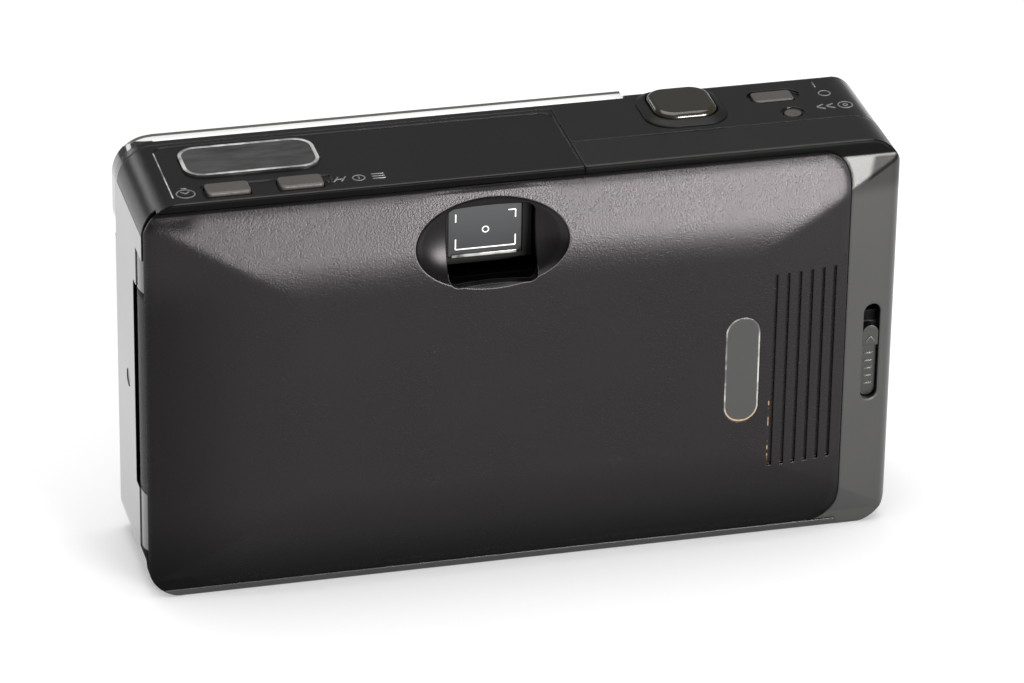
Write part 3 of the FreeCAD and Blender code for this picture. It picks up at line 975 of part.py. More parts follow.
def electronics():
    keys = [block("key_%d" % index, ("%s - 1.8" % x, "%s + 1.8" % x), ("%s - 1.8" % y, "%s + 1.8" % y),
                  ("BoardLow + 1", "KeyTop"))
            for index, (x, y) in enumerate((("ReleaseX", "ReleaseY"), ("PowerX", "PowerY"), ("RewindX", "RewindY - 1.4")))]
    node("circuit_board", join("circuit_board", block("board_plate", ("SlabRight + 1.9", "SeamX - 0.6"),
                                                      ("3", "FrontInside - 0.3"), ("BoardLow", "BoardLow + 1")), *keys))
    base = block("display_plate", ("LcdX - 12.2", "LcdX + 12.2"), ("2.2", "PanelFront - 1"), ("ShelfLow", "ShelfLow + 0.8"))
    taps = [block("display_key_%s" % x, ("%s - 1.5" % x, "%s + 1.5" % x), ("RowY - 1", "RowY + 1.5"),
                  ("ShelfLow + 0.8", "ShelfKeyTop")) for x in ("TimerX", "ModeX")]
    node("display_board", join("display_board", base, *taps))
    node("display_panel", block("display_panel", ("LcdX - LcdWidth / 2 + 0.2", "LcdX + LcdWidth / 2 - 0.2"),
                                ("LcdY - LcdLength / 2 + 0.2", "LcdY + LcdLength / 2 - 0.2"),
                                ("ShelfLow + 0.85", "RoofInside - 0.1")))
    node("display_window", join("display_window",
         rounded("lcd_head", "Z", ("LcdX - LcdWidth / 2", "LcdX + LcdWidth / 2"),
                 ("LcdY - LcdLength / 2", "LcdY + LcdLength / 2"), ("BodyHeight - 0.6", "BodyHeight + LcdRise"), "LcdCorner"),
         rounded("lcd_plug", "Z", ("LcdX - LcdWidth / 2 + LcdRim + 0.05", "LcdX + LcdWidth / 2 - LcdRim - 0.05"),
                 ("LcdY - LcdLength / 2 + LcdRim + 0.05", "LcdY + LcdLength / 2 - LcdRim - 0.05"),
                 ("RoofInside", "BodyHeight - 0.5"), "LcdCorner - LcdRim - 0.05")))
    node("battery_cell", join("battery_cell",
         rod("cell_can", "Z", ("CellX", "CellY"), ("CellLow", "CellTop"), "CellRadius"),
         rod("cell_tip", "Z", ("CellX", "CellY"), ("CellTop - 0.2", "CellTop + 0.8"), "2.2")))
    node("battery_contact", block("battery_contact", ("CellX - 4", "CellX + 4"), ("CellY - 3", "CellY + 3"),
                                  ("CellTop + 0.8", "CellTop + 1.1")))


# Moving controls

def button(label, x, y, wide, deep, corner, rim, top, stem_low):
    """A key cap with a flange under the roof and a stem that reaches its switch."""
    half_wide, half_deep = "(%s) / 2" % wide, "(%s) / 2" % deep
    cap = rounded(label + "_cap", "Z", ("%s - %s" % (x, half_wide), "%s + %s" % (x, half_wide)),
                  ("%s - %s" % (y, half_deep), "%s + %s" % (y, half_deep)), ("RoofInside - 0.6", top), corner)
    soft_top(cap, rim)
    flange = block(label + "_flange", ("%s - %s - 0.6" % (x, half_wide), "%s + %s + 0.6" % (x, half_wide)),
                   ("%s - %s - 0.3" % (y, half_deep), "%s + %s + 0.3" % (y, half_deep)),
                   ("RoofInside - 0.8", "RoofInside - 0.2"))
    stem = rod(label + "_stem", "Z", (x, y), (stem_low, "RoofInside - 0.4"), "1")
    return join(label, cap, flange, stem)


def controls():
    release = button("release_button", "ReleaseX", "ReleaseY", "ReleaseSize", "ReleaseSize", "ReleaseCorner",
                     "ReleaseRim", "BodyHeight + ReleaseRise", "KeyTop + ReleaseTravel + 0.2")
    node("release_button", release)
    half, inner = "CollarSize / 2", "ReleaseSize / 2 + ButtonPlay"
    flare = rounded("collar_flare", "Z", ("ReleaseX - " + half, "ReleaseX + " + half),
                    ("ReleaseY - " + half, "ReleaseY + " + half), ("BodyHeight + 0.02", "BodyHeight + CollarRise"), "CollarCorner")
    flared(flare, "CollarFlare", "CollarRise - 0.15")
    neck = rounded("collar_neck", "Z", ("ReleaseX - %s + 0.85" % half, "ReleaseX + %s - 0.85" % half),
                   ("ReleaseY - %s + 0.85" % half, "ReleaseY + %s - 0.85" % half), ("RoofInside", "BodyHeight + 0.3"),
                   "CollarCorner - 0.8")
    bore = rounded("collar_bore", "Z", ("ReleaseX - (%s)" % inner, "ReleaseX + " + inner),
                   ("ReleaseY - (%s)" % inner, "ReleaseY + " + inner), ("RoofInside - 1", "BodyHeight + 2"), "ReleaseCorner")
    node("release_collar", cut("release_collar", join("collar_solid", flare, neck), bore))
    node("power_button", button("power_button", "PowerX", "PowerY", "PowerWidth", "PowerLength", "ButtonCorner",
                                "ButtonRim", "BodyHeight + 0.15", "KeyTop + SmallTravel + 0.1"))
    node("rewind_button", join("rewind_button",
         rod("rewind_cap", "Z", ("RewindX", "RewindY"), ("RoofInside - 0.6", "BodyHeight - 0.15"), "RewindRadius"),
         rod("rewind_flange", "Z", ("RewindX", "RewindY"), ("RoofInside - 0.8", "RoofInside - 0.2"), "RewindRadius + 0.6"),
         rod("rewind_stem", "Z", ("RewindX", "RewindY"), ("KeyTop + SmallTravel + 0.1", "RoofInside - 0.4"), "0.8")))
    for label, x in (("timer_button", "TimerX"), ("mode_button", "ModeX")):
        node(label, button(label, x, "RowY", "RowWidth", "RowLength", "ButtonCorner", "ButtonRim", "BodyHeight + RowRise",
                           "ShelfKeyTop + SmallTravel + 0.1"))


def latch():
    """Slider with a finger tab, a guide bar behind the slot and the claw for the hook."""
    radius = "SlotWidth / 2 - LatchPlay"
    low, high = "SlotLow + LatchPlay + (%s)" % radius, "SliderTop - (%s)" % radius
    face = join("latch_face",
                rod("latch_low", "Y", ("LatchX", low), ("SliderFace", "2"), radius),
                rod("latch_high", "Y", ("LatchX", high), ("SliderFace", "2"), radius),
                block("latch_mid", ("LatchX - (%s)" % radius, "LatchX + " + radius), ("SliderFace", "2"), (low, high)))
    tab = rod("latch_tab", "Y", ("LatchX", high), ("SliderTab", "1"), radius)
    grip = block("latch_grip", ("LatchX - (%s)" % radius, "LatchX + " + radius), ("SliderTab", "1"),
                 ("SliderTop - TabHeight", high))
    bar = block("latch_bar", ("LatchX - 2.2", "LatchX + 2.2"), ("1.4", "3.4"), ("SlotLow - 1", "SliderTop + 2"))
    claw = block("latch_claw", ("SeamX - 0.6", "LatchX"), ("2.6", "3.4"), ("HookLow + HookHeight + 0.8", "SliderTop + 2"))
    node("latch_slider", join("latch_slider", face, tab, grip, bar, claw))


def battery_door(forms):
    """Curved flap in the base under the grip, turning on a rounded edge."""
    zone = block("flap_zone", ("FlapLeft + 0.6", "FlapRight"), ("FlapRear", "FlapFront"), ("0", "FlapHigh"))
    skin = cut("flap_skin", shared("flap_form", forms["full"], zone), forms["cavity"])
    edge = rod("flap_edge", "Y", ("FlapLeft + 0.6 + 0.05", "Wall / 2"), ("FlapRear", "FlapFront"), "Wall / 2")
    contact = rod("flap_contact", "Z", ("CellX", "CellY"), ("Wall - 0.2", "CellLow - 0.2"), "2.5")
    node("battery_door", join("battery_door", skin, edge, contact))


def small_parts():
    bush = turned("tripod_bush", "Z", [
        ("ThreadRadius", "0.05"), ("BushRadius", "0.05"), ("BushRadius", "Wall"), ("BushRadius + 0.5", "Wall + 0.02"),
        ("BushRadius + 0.5", "Wall + 0.8"), ("BushRadius - 0.4", "Wall + 0.8"), ("BushRadius - 0.4", "BushHeight"),
        ("ThreadRadius", "BushHeight")], "BushX", "BushY", "0")
    node("tripod_bush", bush)
    node("strap_bar", rod("strap_bar", "Z", ("HalfWidth - StrapBar - 0.2", "StrapY"),
                          ("StrapZ - StrapHeight / 2", "StrapZ + StrapHeight / 2"), "StrapBar"))
    shanks = [rod("screw_shank_%d" % index, "Z", spot, ("0.4", "FloorLevel - 0.4"), "0.7")
              for index, spot in enumerate(BASE_SCREWS)]
    heads = [rod("screw_head_%d" % index, "Z", spot, ("0.15", "0.85"), "1.5") for index, spot in enumerate(BASE_SCREWS)]
    pairs = [join("base_screw_%d" % index, shank, head) for index, (shank, head) in enumerate(zip(shanks, heads))]
    side = join("side_screw", rod("side_head", "X", SIDE_SCREW, ("0.15 - HalfWidth", "0.7 - HalfWidth"), "1.4"),
                rod("side_shank", "X", SIDE_SCREW, ("0.4 - HalfWidth", "SpoolX - SpoolBore - 1.6"), "0.7"))
    group = DOC.addObject("Part::Compound", "cover_screws")
    group.Links = pairs + [side]
    node("cover_screws", group)
    node("timer_lamp", rod("timer_lamp", "Y", TIMER_LAMP, ("BodyDepth - 0.8", "BodyDepth + 0.25"), "1.5"))


def check_and_write():
    DOC.recompute()
    faults = ["%s %s" % (item.Name, item.State) for item in DOC.Objects
              if "Invalid" in item.State or "Error" in item.State]
    for item in NODES:
        if item.Shape.isNull() or not item.Shape.isValid() or not item.Shape.Solids:
            faults.append("%s has no sound shape" % item.Label)
    if faults:
        raise RuntimeError("; ".join(faults))
    os.makedirs("parts", exist_ok=True)
    for item in NODES:
        item.Shape.exportStep("parts/%s.step" % item.Label)
        print("%-22s solids %d volume %9.2f" % (item.Label, len(item.Shape.Solids), item.Shape.Volume))


def main():
    fill_sheet()
    forms = outer_forms()
    front_cover(forms)
    rear_cover(forms)
    top_cover(forms)
    window_panel(forms)
    panel_windows()
    back_door(forms)
    door_fittings(forms)
    hinge_pin()
    chassis()
    film_drive()
    dx_contacts()
    lens_group()
    viewfinder()
    flash_unit()
    electronics()
    controls()
    latch()
    battery_door(forms)
    small_parts()
    check_and_write()


main()
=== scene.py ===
import math

import bpy
from bpy.props import FloatProperty, FloatVectorProperty, IntProperty, PointerProperty
from mathutils import Matrix, Vector


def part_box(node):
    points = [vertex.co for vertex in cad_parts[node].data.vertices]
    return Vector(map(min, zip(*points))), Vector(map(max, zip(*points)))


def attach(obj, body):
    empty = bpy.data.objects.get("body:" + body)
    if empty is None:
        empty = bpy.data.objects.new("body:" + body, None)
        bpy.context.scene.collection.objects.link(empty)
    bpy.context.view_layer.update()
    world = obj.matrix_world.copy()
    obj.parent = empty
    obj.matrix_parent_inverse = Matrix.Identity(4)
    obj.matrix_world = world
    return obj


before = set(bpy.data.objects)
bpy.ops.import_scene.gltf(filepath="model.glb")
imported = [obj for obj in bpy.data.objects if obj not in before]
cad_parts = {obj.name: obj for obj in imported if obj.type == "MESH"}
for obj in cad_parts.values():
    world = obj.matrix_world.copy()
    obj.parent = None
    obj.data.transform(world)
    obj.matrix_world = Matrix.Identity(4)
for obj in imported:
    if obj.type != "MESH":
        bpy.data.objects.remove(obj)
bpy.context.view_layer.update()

bl_info = {
    "name": "Compact Film Camera",
    "version": (1, 0, 0),
    "blender": (4, 5, 0),
    "location": "View3D > Sidebar > Film Camera",
    "description": "Finishes, small pieces and a studio for a compact film camera",
    "category": "Object",
}

MM = 0.001
MICRON = 0.000001
SMOOTH_ANGLE = math.radians(35)
UPRIGHT = (math.radians(90), 0, 0)

# The flat of the back door along y, the top face and the sunk field at its left, in millimetres
DOOR_PLANE = -14.15
TOP = 70.0
INSET = 69.85

# How far signs sink into the top, and the row of the timer and mode buttons, in millimetres
SUNK = 0.02
BUTTON_ROW = 3.97

# How much wider than its pane the rim of the film window is, in millimetres
PANE_OVERLAP = 0.05

# Colour of what black plastic mirrors: a little warm, and rosy on the door and the top
WARM_SHEEN = (1.0, 0.98, 0.94)
ROSY_SHEEN = (1.0, 0.925, 0.94)

# Where masks fade from nought to one, along x, y or z in metres
SHOULDER = (0.0670, 0.0690)
GRIP_GLOSS_END = (0.0600, 0.0630)
BAND_FOOT = (0.0672, 0.0675)
BAND_HEAD = (0.06985, 0.0699)
BAND_FRONT = (-0.01395, -0.0137)
GRIP_HEAD = (0.0668, 0.0673)
GRIP_FRONT = (-0.0141, -0.0139)
LIP_HEAD = (0.0600, 0.0640)
DOOR_FOOT = (0.001, 0.018)
DOOR_SIDE = (-0.0600, -0.0440)
SIDE_HEAD = (0.050, 0.060)
DOOR_HEAD = (0.0678, 0.0682)
FINDER_HEIGHT = (0.0555, 0.0642)
TAB_TOP = (0.03660, 0.03675)
STAIN_END = (0.0235, 0.0262)
BROW_FRONT = (0.01132, 0.01138)

# The ridge between the grip's top slope and its side slope, and the slanted line left of which
# the top slope keeps its gloss: places in metres, slopes as ratios
GRIP_LEFT = 0.0532
RIDGE_LOW = 0.0613
RIDGE_RISE = 0.58
RIDGE_FADE = (-0.0001, 0.0004)
CORNER_LEAN = 0.28
CORNER_FADE = (0.0378, 0.0390)

# The hollow round the eyepiece: middle and half axes along x and z, in metres
DISH_MIDDLE = (-0.0063, 0.0591)
DISH_REACH = (0.01195, 0.0075)

# Where masks round that hollow fade, as squares of the distance from its middle in half axes
LIP_OUTSIDE = (1.5, 1.6)
LIP_INSIDE = (0.74, 0.80)
DISH_CRISP = (1.2, 2.4)
DISH_BARE = (0.9, 1.0)
DISH_DARK = (0.85, 0.93)

# Fields on the door, each with its low and high corner along x and z, in metres
PANE_FIELD = ((0.0312, 0.0215), (0.0394, 0.0435))
GROOVE_FIELD = ((0.0395, 0.0130), (0.0525, 0.0503))
WORN_FIELD = ((0.0400, 0.0148), (0.0402, 0.0262))
FIELD_BORDER = 0.0015
WORN_BORDER = 0.00008

# Lamps: name, place and size in metres, power in watts, and the place that they aim at
LAMPS = (("key_soft", (0.59, -1.23, 0.20), (0.7, 0.30), 32.0),
         ("top_soft", (-0.1, 0.1, 1.5), (1.8, 1.8), 26.0),
         ("strip_soft", (-0.62, 1.30, 0.46), (0.6, 0.15), 0.9))
AIM = (0, 0, 0.035)

# Strength of the light from all round, and of the floor's own light where it is seen
AMBIENT = 0.21
FLOOR_LIFT = 0.21

# The camera's place in metres, its directions, and its lens and sensor in millimetres
CAMERA_PLACE = (-0.20185, -0.79032, 0.45237)
CAMERA_RIGHT = (0.970193566, -0.241923852, 0.014046126)
CAMERA_DOWN = (-0.098557631, -0.446872515, -0.889152039)
CAMERA_AHEAD = (0.221383914, 0.861265235, -0.457396281)
CAMERA_LENS = 197.85
CAMERA_SENSOR = 36.0


def at(x, y, z):
    """A place in millimetres, with y forward from the door plane."""
    return Vector((x, y + DOOR_PLANE, z)) * MM


# Shader maths

class Term:
    """A shader socket that sums and products can be written with."""

    def __init__(self, graph, socket):
        self.graph = graph
        self.socket = socket

    def maths(self, operation, *values):
        sockets = dict(enumerate(values))
        return self.graph.node("ShaderNodeMath", {"operation": operation}, sockets)

    def __add__(self, other):
        return self.maths("ADD", self, other)

    def __radd__(self, other):
        return self.maths("ADD", other, self)

    def __sub__(self, other):
        return self.maths("SUBTRACT", self, other)

    def __rsub__(self, other):
        return self.maths("SUBTRACT", other, self)

    def __mul__(self, other):
        return self.maths("MULTIPLY", self, other)

    def __rmul__(self, other):
        return self.maths("MULTIPLY", other, self)

    def smooth(self, low, high):
        """Nought below low, one above high and a soft rise between."""
        settings = {"interpolation_type": "SMOOTHSTEP"}
        sockets = {"Value": self, "From Min": low, "From Max": high}
        return self.graph.node("ShaderNodeMapRange", settings, sockets)


class Finish:
    """A material and the few ways in which its nodes are made."""

    def __init__(self, name, world=None):
        self.owner = world or bpy.data.materials.new(name)
        self.owner.use_nodes = True
        self.tree = self.owner.node_tree
        self.tree.nodes.clear()

    def node(self, kind, settings=None, sockets=None, output=0):
        """Make a node, set what it is, then give its sockets values or links."""
        node = self.tree.nodes.new(kind)
        for key, value in (settings or {}).items():
            setattr(node, key, value)
        for key, value in (sockets or {}).items():
            if isinstance(value, Term):
                self.tree.links.new(value.socket, node.inputs[key])
            else:
                node.inputs[key].default_value = value
        return Term(self, node.outputs[output]) if node.outputs else node

    def place(self, scale=(1, 1, 1)):
        """Where a point lies, in metres, times a scale for each axis."""
        spot = self.node("ShaderNodeTexCoord", output=3)
        return self.node("ShaderNodeMapping", None, {"Vector": spot, "Scale": scale})

    def axis(self, index):
        return self.node("ShaderNodeSeparateXYZ", None, {0: self.place()}, output=index)

    def noise(self, scale, detail=2.0, roughness=0.5, stretch=(1, 1, 1)):
        sockets = {"Vector": self.place(stretch), "Scale": scale, "Detail": detail,
                   "Roughness": roughness}
        return self.node("ShaderNodeTexNoise", None, sockets)

    def inside(self, low, high, soft):
        """One within a range along x and z, in metres, and nought outside a soft border."""
        mask = 1.0
        for index, start, end in ((0, low[0], high[0]), (2, low[1], high[1])):
            along = self.axis(index)
            mask = along.smooth(start - soft, start) * (1 - along.smooth(end, end + soft)) * mask
        return mask

    def turn_between(self, factor, first, second):
        """A normal between two others."""
        sockets = {0: factor, 4: first, 5: second}
        return self.node("ShaderNodeMix", {"data_type": "VECTOR"}, sockets, output=1)

    def blend(self, factor, first, second):
        """A colour between two others."""
        sockets = {0: factor, 6: colour4(first), 7: colour4(second)}
        return self.node("ShaderNodeMix", {"data_type": "RGBA"}, sockets, output=2)

    def soft_edge(self, radius):
        """The surface's normal, turned smoothly across edges within the radius."""
        return self.node("ShaderNodeBevel", {"samples": 6}, {"Radius": radius})

    def sharp_edges(self, radius):
        """One where the surface turns sharply within the radius."""
        flat = self.node("ShaderNodeNewGeometry", output=1)
        alike = self.node("ShaderNodeVectorMath", {"operation": "DOT_PRODUCT"},
                          {0: self.soft_edge(radius), 1: flat}, output=1)
        return 1 - alike.smooth(0.93, 0.995)

    def rays(self, *kinds):
        """One for each of the given kinds of ray, such as Is Camera Ray."""
        terms = [self.node("ShaderNodeLightPath", output=kind) for kind in kinds]
        return sum(terms[1:], terms[0])

    def bump(self, height, strength, distance, normal=None):
        sockets = {"Strength": strength, "Distance": distance, "Height": height}
        if normal:
            sockets["Normal"] = normal
        return self.node("ShaderNodeBump", None, sockets)

    def surface(self, shade=None, **sockets):
        """Principled surface: sockets are named in words joined by underscores.

        Shade is a mask of painted shade: a flat black mixed in to darken rims, hollows and far
        slopes.
        """
        named = {key.replace("_", " ").replace("Ior", "IOR"): value
                 for key, value in sockets.items()}
        shader = self.node("ShaderNodeBsdfPrincipled", None, named)
        # Painted shade: where the mask is one, the surface turns to a flat black
        if shade:
            painted_shade = {"Base Color": (0.001, 0.001, 0.001, 1), "Roughness": 0.9, "IOR": 1.12}
            black = self.node("ShaderNodeBsdfPrincipled", None, painted_shade)
            shader = self.node("ShaderNodeMixShader", None, {0: shade, 1: shader, 2: black})
        self.end(shader)
        return self.owner

    def end(self, shader, kind="ShaderNodeOutputMaterial"):
        self.node(kind, None, {"Surface": shader})


def colour4(value):
    if isinstance(value, Term) or len(value) == 4:
        return value
    return (*value, 1.0)


def moulded(name, colour, rough, grain, depth, spread=0.06, coat=0.0, coat_rough=0.1, ior=1.5,
            edge=0.0003, form=None, wear_and_glint=None, shade=None, even=None, sheen=WARM_SHEEN):
    """Moulded plastic: fine spark-eroded grain, slow changes of gloss and faint dust.

    Grain is in waves per metre, depth and edge are in metres. Form gives the normal, the wear
    callable changes the colour with wear and painted highlights, shade is a mask of painted shade
    in flat black, and even is a mask without grain.
    """
    f = Finish(name)
    fine = f.noise(grain)
    slow = f.noise(60.0)
    dust = f.noise(2600.0, 1.0).smooth(0.74, 0.80) * 0.35
    tone = f.blend(slow, [c * 0.85 for c in colour], [c * 1.2 for c in colour])
    base = f.blend(dust * 0.25, tone, [c + 0.05 for c in colour])
    roughness = fine * spread + (slow * spread + (rough - spread))
    if wear_and_glint:
        base = wear_and_glint(f, base)
    if callable(coat):
        coat = coat(f)
    rounded = form(f) if form else f.soft_edge(edge)
    height = fine * (1 - even(f)) if even else fine
    return f.surface(shade(f) if shade else None, Base_Color=base, Roughness=roughness, Ior=ior,
                     Specular_Tint=colour4(sheen), Normal=f.bump(height, 1.0, depth, rounded),
                     Coat_Weight=coat, Coat_Roughness=coat_rough)


def metal(name, colour, rough, stretch=(1, 1, 1)):
    """Brushed metal, whose marks run across the axis with the greatest stretch."""
    f = Finish(name)
    brushed = f.noise(900.0, 3.0, 0.6, stretch)
    base = f.blend(brushed, [c * 0.85 for c in colour], colour)
    return f.surface(Base_Color=base, Roughness=brushed * 0.15 + (rough - 0.07), Metallic=1.0,
                     Normal=f.bump(brushed, 0.3, 20 * MICRON))


def glassy(name, colour, rough=0.03, body=0.0, smear=0.04, streak=0.92):
    """Clear moulding with faint wipe marks. Body mixes in what shows as a solid tint.

    Streak is how light the marks are beside the colour: below nought they are wide and dark.
    """
    f = Finish(name)
    wipe = f.noise(180.0, 3.0, 0.6, (1, 4, 4))
    return f.surface(Base_Color=f.blend(wipe, [c * streak for c in colour], colour),
                     Roughness=wipe * smear + rough, Transmission_Weight=1.0 - body, Ior=1.46)


def extent(name):
    """The middle of a piece from the frame, in metres, and its size in millimetres."""
    low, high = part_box(name)
    return (low + high) / 2, (high - low) / MM


def paint(names, material):
    """Give pieces from the frame one material."""
    for name in names:
        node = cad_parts[name]
        node.data.materials.clear()
        node.data.materials.append(material)


# Modelling helpers

def settle():
    """Leave edit mode and select nothing."""
    if bpy.context.object and bpy.context.object.mode != "OBJECT":
        bpy.ops.object.mode_set(mode="OBJECT")
    bpy.ops.object.select_all(action="DESELECT")


def begin(name):
    """The object that a primitive has just made, under its own name."""
    piece = bpy.context.object
    piece.name = name
    piece.data.name = name
    return piece


def modify(piece, kind, **settings):
    """Add a modifier and apply it at once."""
    bpy.context.view_layer.objects.active = piece
    modifier = piece.modifiers.new(kind.title(), kind)
    for key, value in settings.items():
        setattr(modifier, key, value)
    bpy.ops.object.modifier_apply(modifier=modifier.name)


def close(piece, body, material):
    """Place the mesh for good, and say what it rides on and what it is made of."""
    bpy.context.view_layer.objects.active = piece
    piece.select_set(True)
    bpy.ops.object.transform_apply(location=True, rotation=True, scale=True)
    bpy.ops.object.mode_set(mode="EDIT")
    bpy.ops.mesh.select_all(action="SELECT")
    bpy.ops.mesh.remove_doubles(threshold=1e-7)
    bpy.ops.mesh.normals_make_consistent(inside=False)
    bpy.ops.object.mode_set(mode="OBJECT")
    bpy.ops.object.shade_smooth_by_angle(angle=SMOOTH_ANGLE)
    piece.data.materials.clear()
    piece.data.materials.append(material)
    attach(piece, body)
    piece.select_set(False)


def unite(name, parts):
    """Join loose parts into one piece."""
    settle()
    for part in parts:
        part.select_set(True)
    bpy.context.view_layer.objects.active = parts[0]
    if len(parts) > 1:
        bpy.ops.object.join()
    return begin(name)


def bar(centre, size, bevel, turn=(0, 0, 0)):
    """A slim bar: sizes in millimetres, and its edges' bevel as a share of the least of them."""
    settle()
    bpy.ops.mesh.primitive_cube_add(size=1.0, location=centre, rotation=turn)
    piece = bpy.context.object
    piece.scale = Vector(size) * MM
    bpy.ops.object.transform_apply(location=False, rotation=False, scale=True)
    modify(piece, "BEVEL", width=min(size) * bevel * MM, segments=2)
    return piece


def ring(centre, major, minor, flat, turn=(0, 0, 0), sides=40):
    """A ring of round wire, pressed flat to a share of its height: sizes in millimetres."""
    settle()
    bpy.ops.mesh.primitive_torus_add(location=centre, rotation=turn, major_radius=major * MM,
                                     minor_radius=minor * MM, major_segments=sides,
                                     minor_segments=8)
    piece = bpy.context.object
    piece.scale = (1, 1, flat)
    bpy.ops.object.transform_apply(location=False, rotation=False, scale=True)
    return piece


def rim(centre, size, corner, band, rise, turn=(0, 0, 0)):
    """A slim rounded frame that stands up from its place: sizes in millimetres."""
    settle()
    bpy.ops.mesh.primitive_plane_add(size=1.0, location=centre, rotation=turn)
    piece = bpy.context.object
    piece.scale = (size[0] * MM, size[1] * MM, 1)
    bpy.ops.object.transform_apply(location=False, rotation=False, scale=True)
    bpy.ops.object.mode_set(mode="EDIT")
    bpy.ops.mesh.select_all(action="SELECT")
    bpy.ops.mesh.bevel(offset=corner * MM, segments=10, affect="VERTICES")
    bpy.ops.mesh.inset(thickness=band * MM)
    bpy.ops.mesh.delete(type="FACE")
    bpy.ops.mesh.select_all(action="SELECT")
    lift = piece.rotation_euler.to_matrix() @ Vector((0, 0, rise * MM))
    bpy.ops.mesh.extrude_region_move(TRANSFORM_OT_translate={"value": lift})
    bpy.ops.object.mode_set(mode="OBJECT")
    modify(piece, "BEVEL", width=min(band, rise) * 0.4 * MM, segments=3, limit_method="ANGLE")
    return piece


# Settings

class FilmCameraSizes(bpy.types.PropertyGroup):
    mark_height: FloatProperty(
        name="Mark height", description="How far the signs stand up, in millimetres",
        default=0.12, min=0.01, max=0.3)
    mark_width: FloatProperty(
        name="Mark width", description="Width of a sign's strokes, in millimetres",
        default=0.26, min=0.1, max=0.6)
    flash_ribs: IntProperty(
        name="Flash ribs", description="Number of ribs across the flash window",
        default=22, min=4, max=60)
    grain: FloatProperty(
        name="Grain", description="How fine the moulded grain is, in waves per metre",
        default=4000.0, min=200.0, max=9000.0)


class FilmCameraColours(bpy.types.PropertyGroup):
    shell: FloatVectorProperty(
        name="Shell", description="Colour of the covers", subtype="COLOR",
        default=(0.0060, 0.0056, 0.0058), min=0, max=1)
    door: FloatVectorProperty(
        name="Door", description="Colour of the back door", subtype="COLOR",
        default=(0.0032, 0.0028, 0.0031), min=0, max=1)
    buttons: FloatVectorProperty(
        name="Buttons", description="Colour of the small buttons", subtype="COLOR",
        default=(0.074, 0.067, 0.062), min=0, max=1)
    release: FloatVectorProperty(
        name="Release", description="Colour of the shutter release", subtype="COLOR",
        default=(0.014, 0.011, 0.006), min=0, max=1)
    inside: FloatVectorProperty(
        name="Inside", description="Colour of the flat black parts inside", subtype="COLOR",
        default=(0.006, 0.006, 0.006), min=0, max=1)


def sizes():
    return bpy.context.scene.film_camera_sizes


def colours():
    return bpy.context.scene.film_camera_colours


# Finishes on the pieces that come from the frame

class FILMCAMERA_OT_cover_finish(bpy.types.Operator):
    """Give the covers and the window panel their black mouldings"""
    bl_idname = "film_camera.cover_finish"
    bl_label = "Finish covers"

    def execute(self, context):
        shell = tuple(colours().shell)
        grain = sizes().grain
        paint(["front_cover", "battery_door"],
              moulded("cover_black", shell, rough=0.25, grain=grain, depth=10 * MICRON,
                      coat=self.flanks, coat_rough=0.12))
        paint(["rear_cover"],
              moulded("grip_black", shell, rough=0.34, grain=grain, depth=20 * MICRON,
                      coat=self.sides, coat_rough=0.3, edge=0.0007, shade=self.grip_shade))
        paint(["top_cover"],
              moulded("top_black", shell, rough=0.26, grain=grain, depth=10 * MICRON, ior=1.43,
                      shade=self.band, sheen=ROSY_SHEEN))
        paint(["window_panel"],
              moulded("panel_black", shell, rough=0.10, grain=900.0, depth=2 * MICRON,
                      spread=0.03, coat=1.0, coat_rough=0.03))
        paint(["lens_ring"],
              moulded("ring_black", shell, rough=0.22, grain=1500.0, depth=6 * MICRON, coat=0.5))
        return {"FINISHED"}

    @staticmethod
    def flanks(f):
        """The front cover shines on its sides, and is satin on top."""
        return (1 - f.axis(2).smooth(*SHOULDER)) * 0.85

    @staticmethod
    def sides(f):
        """The grip is worn to a gloss below the top edge."""
        return (1 - f.axis(2).smooth(*GRIP_GLOSS_END)) * 0.7

    @staticmethod
    def band(f):
        """Painted shade: the narrow band above the door, in the shadow of the gap, is flat black.
        """
        behind = 1 - f.axis(1).smooth(*BAND_FRONT)
        height = f.axis(2)
        return behind * height.smooth(*BAND_FOOT) * (1 - height.smooth(*BAND_HEAD)) * 0.9

    def grip_shade(self, f):
        """Painted shade: that band, and the right end of the grip's top slope, mixed towards flat
        black.
        """
        along, height = f.axis(0), f.axis(2)
        ridge = (height - RIDGE_LOW - (along - GRIP_LEFT) * RIDGE_RISE).smooth(*RIDGE_FADE)
        corner = (along - height * CORNER_LEAN).smooth(*CORNER_FADE)
        below = 1 - height.smooth(*GRIP_HEAD)
        behind = 1 - f.axis(1).smooth(*GRIP_FRONT)
        return self.band(f) + ridge * corner * below * behind * 0.75


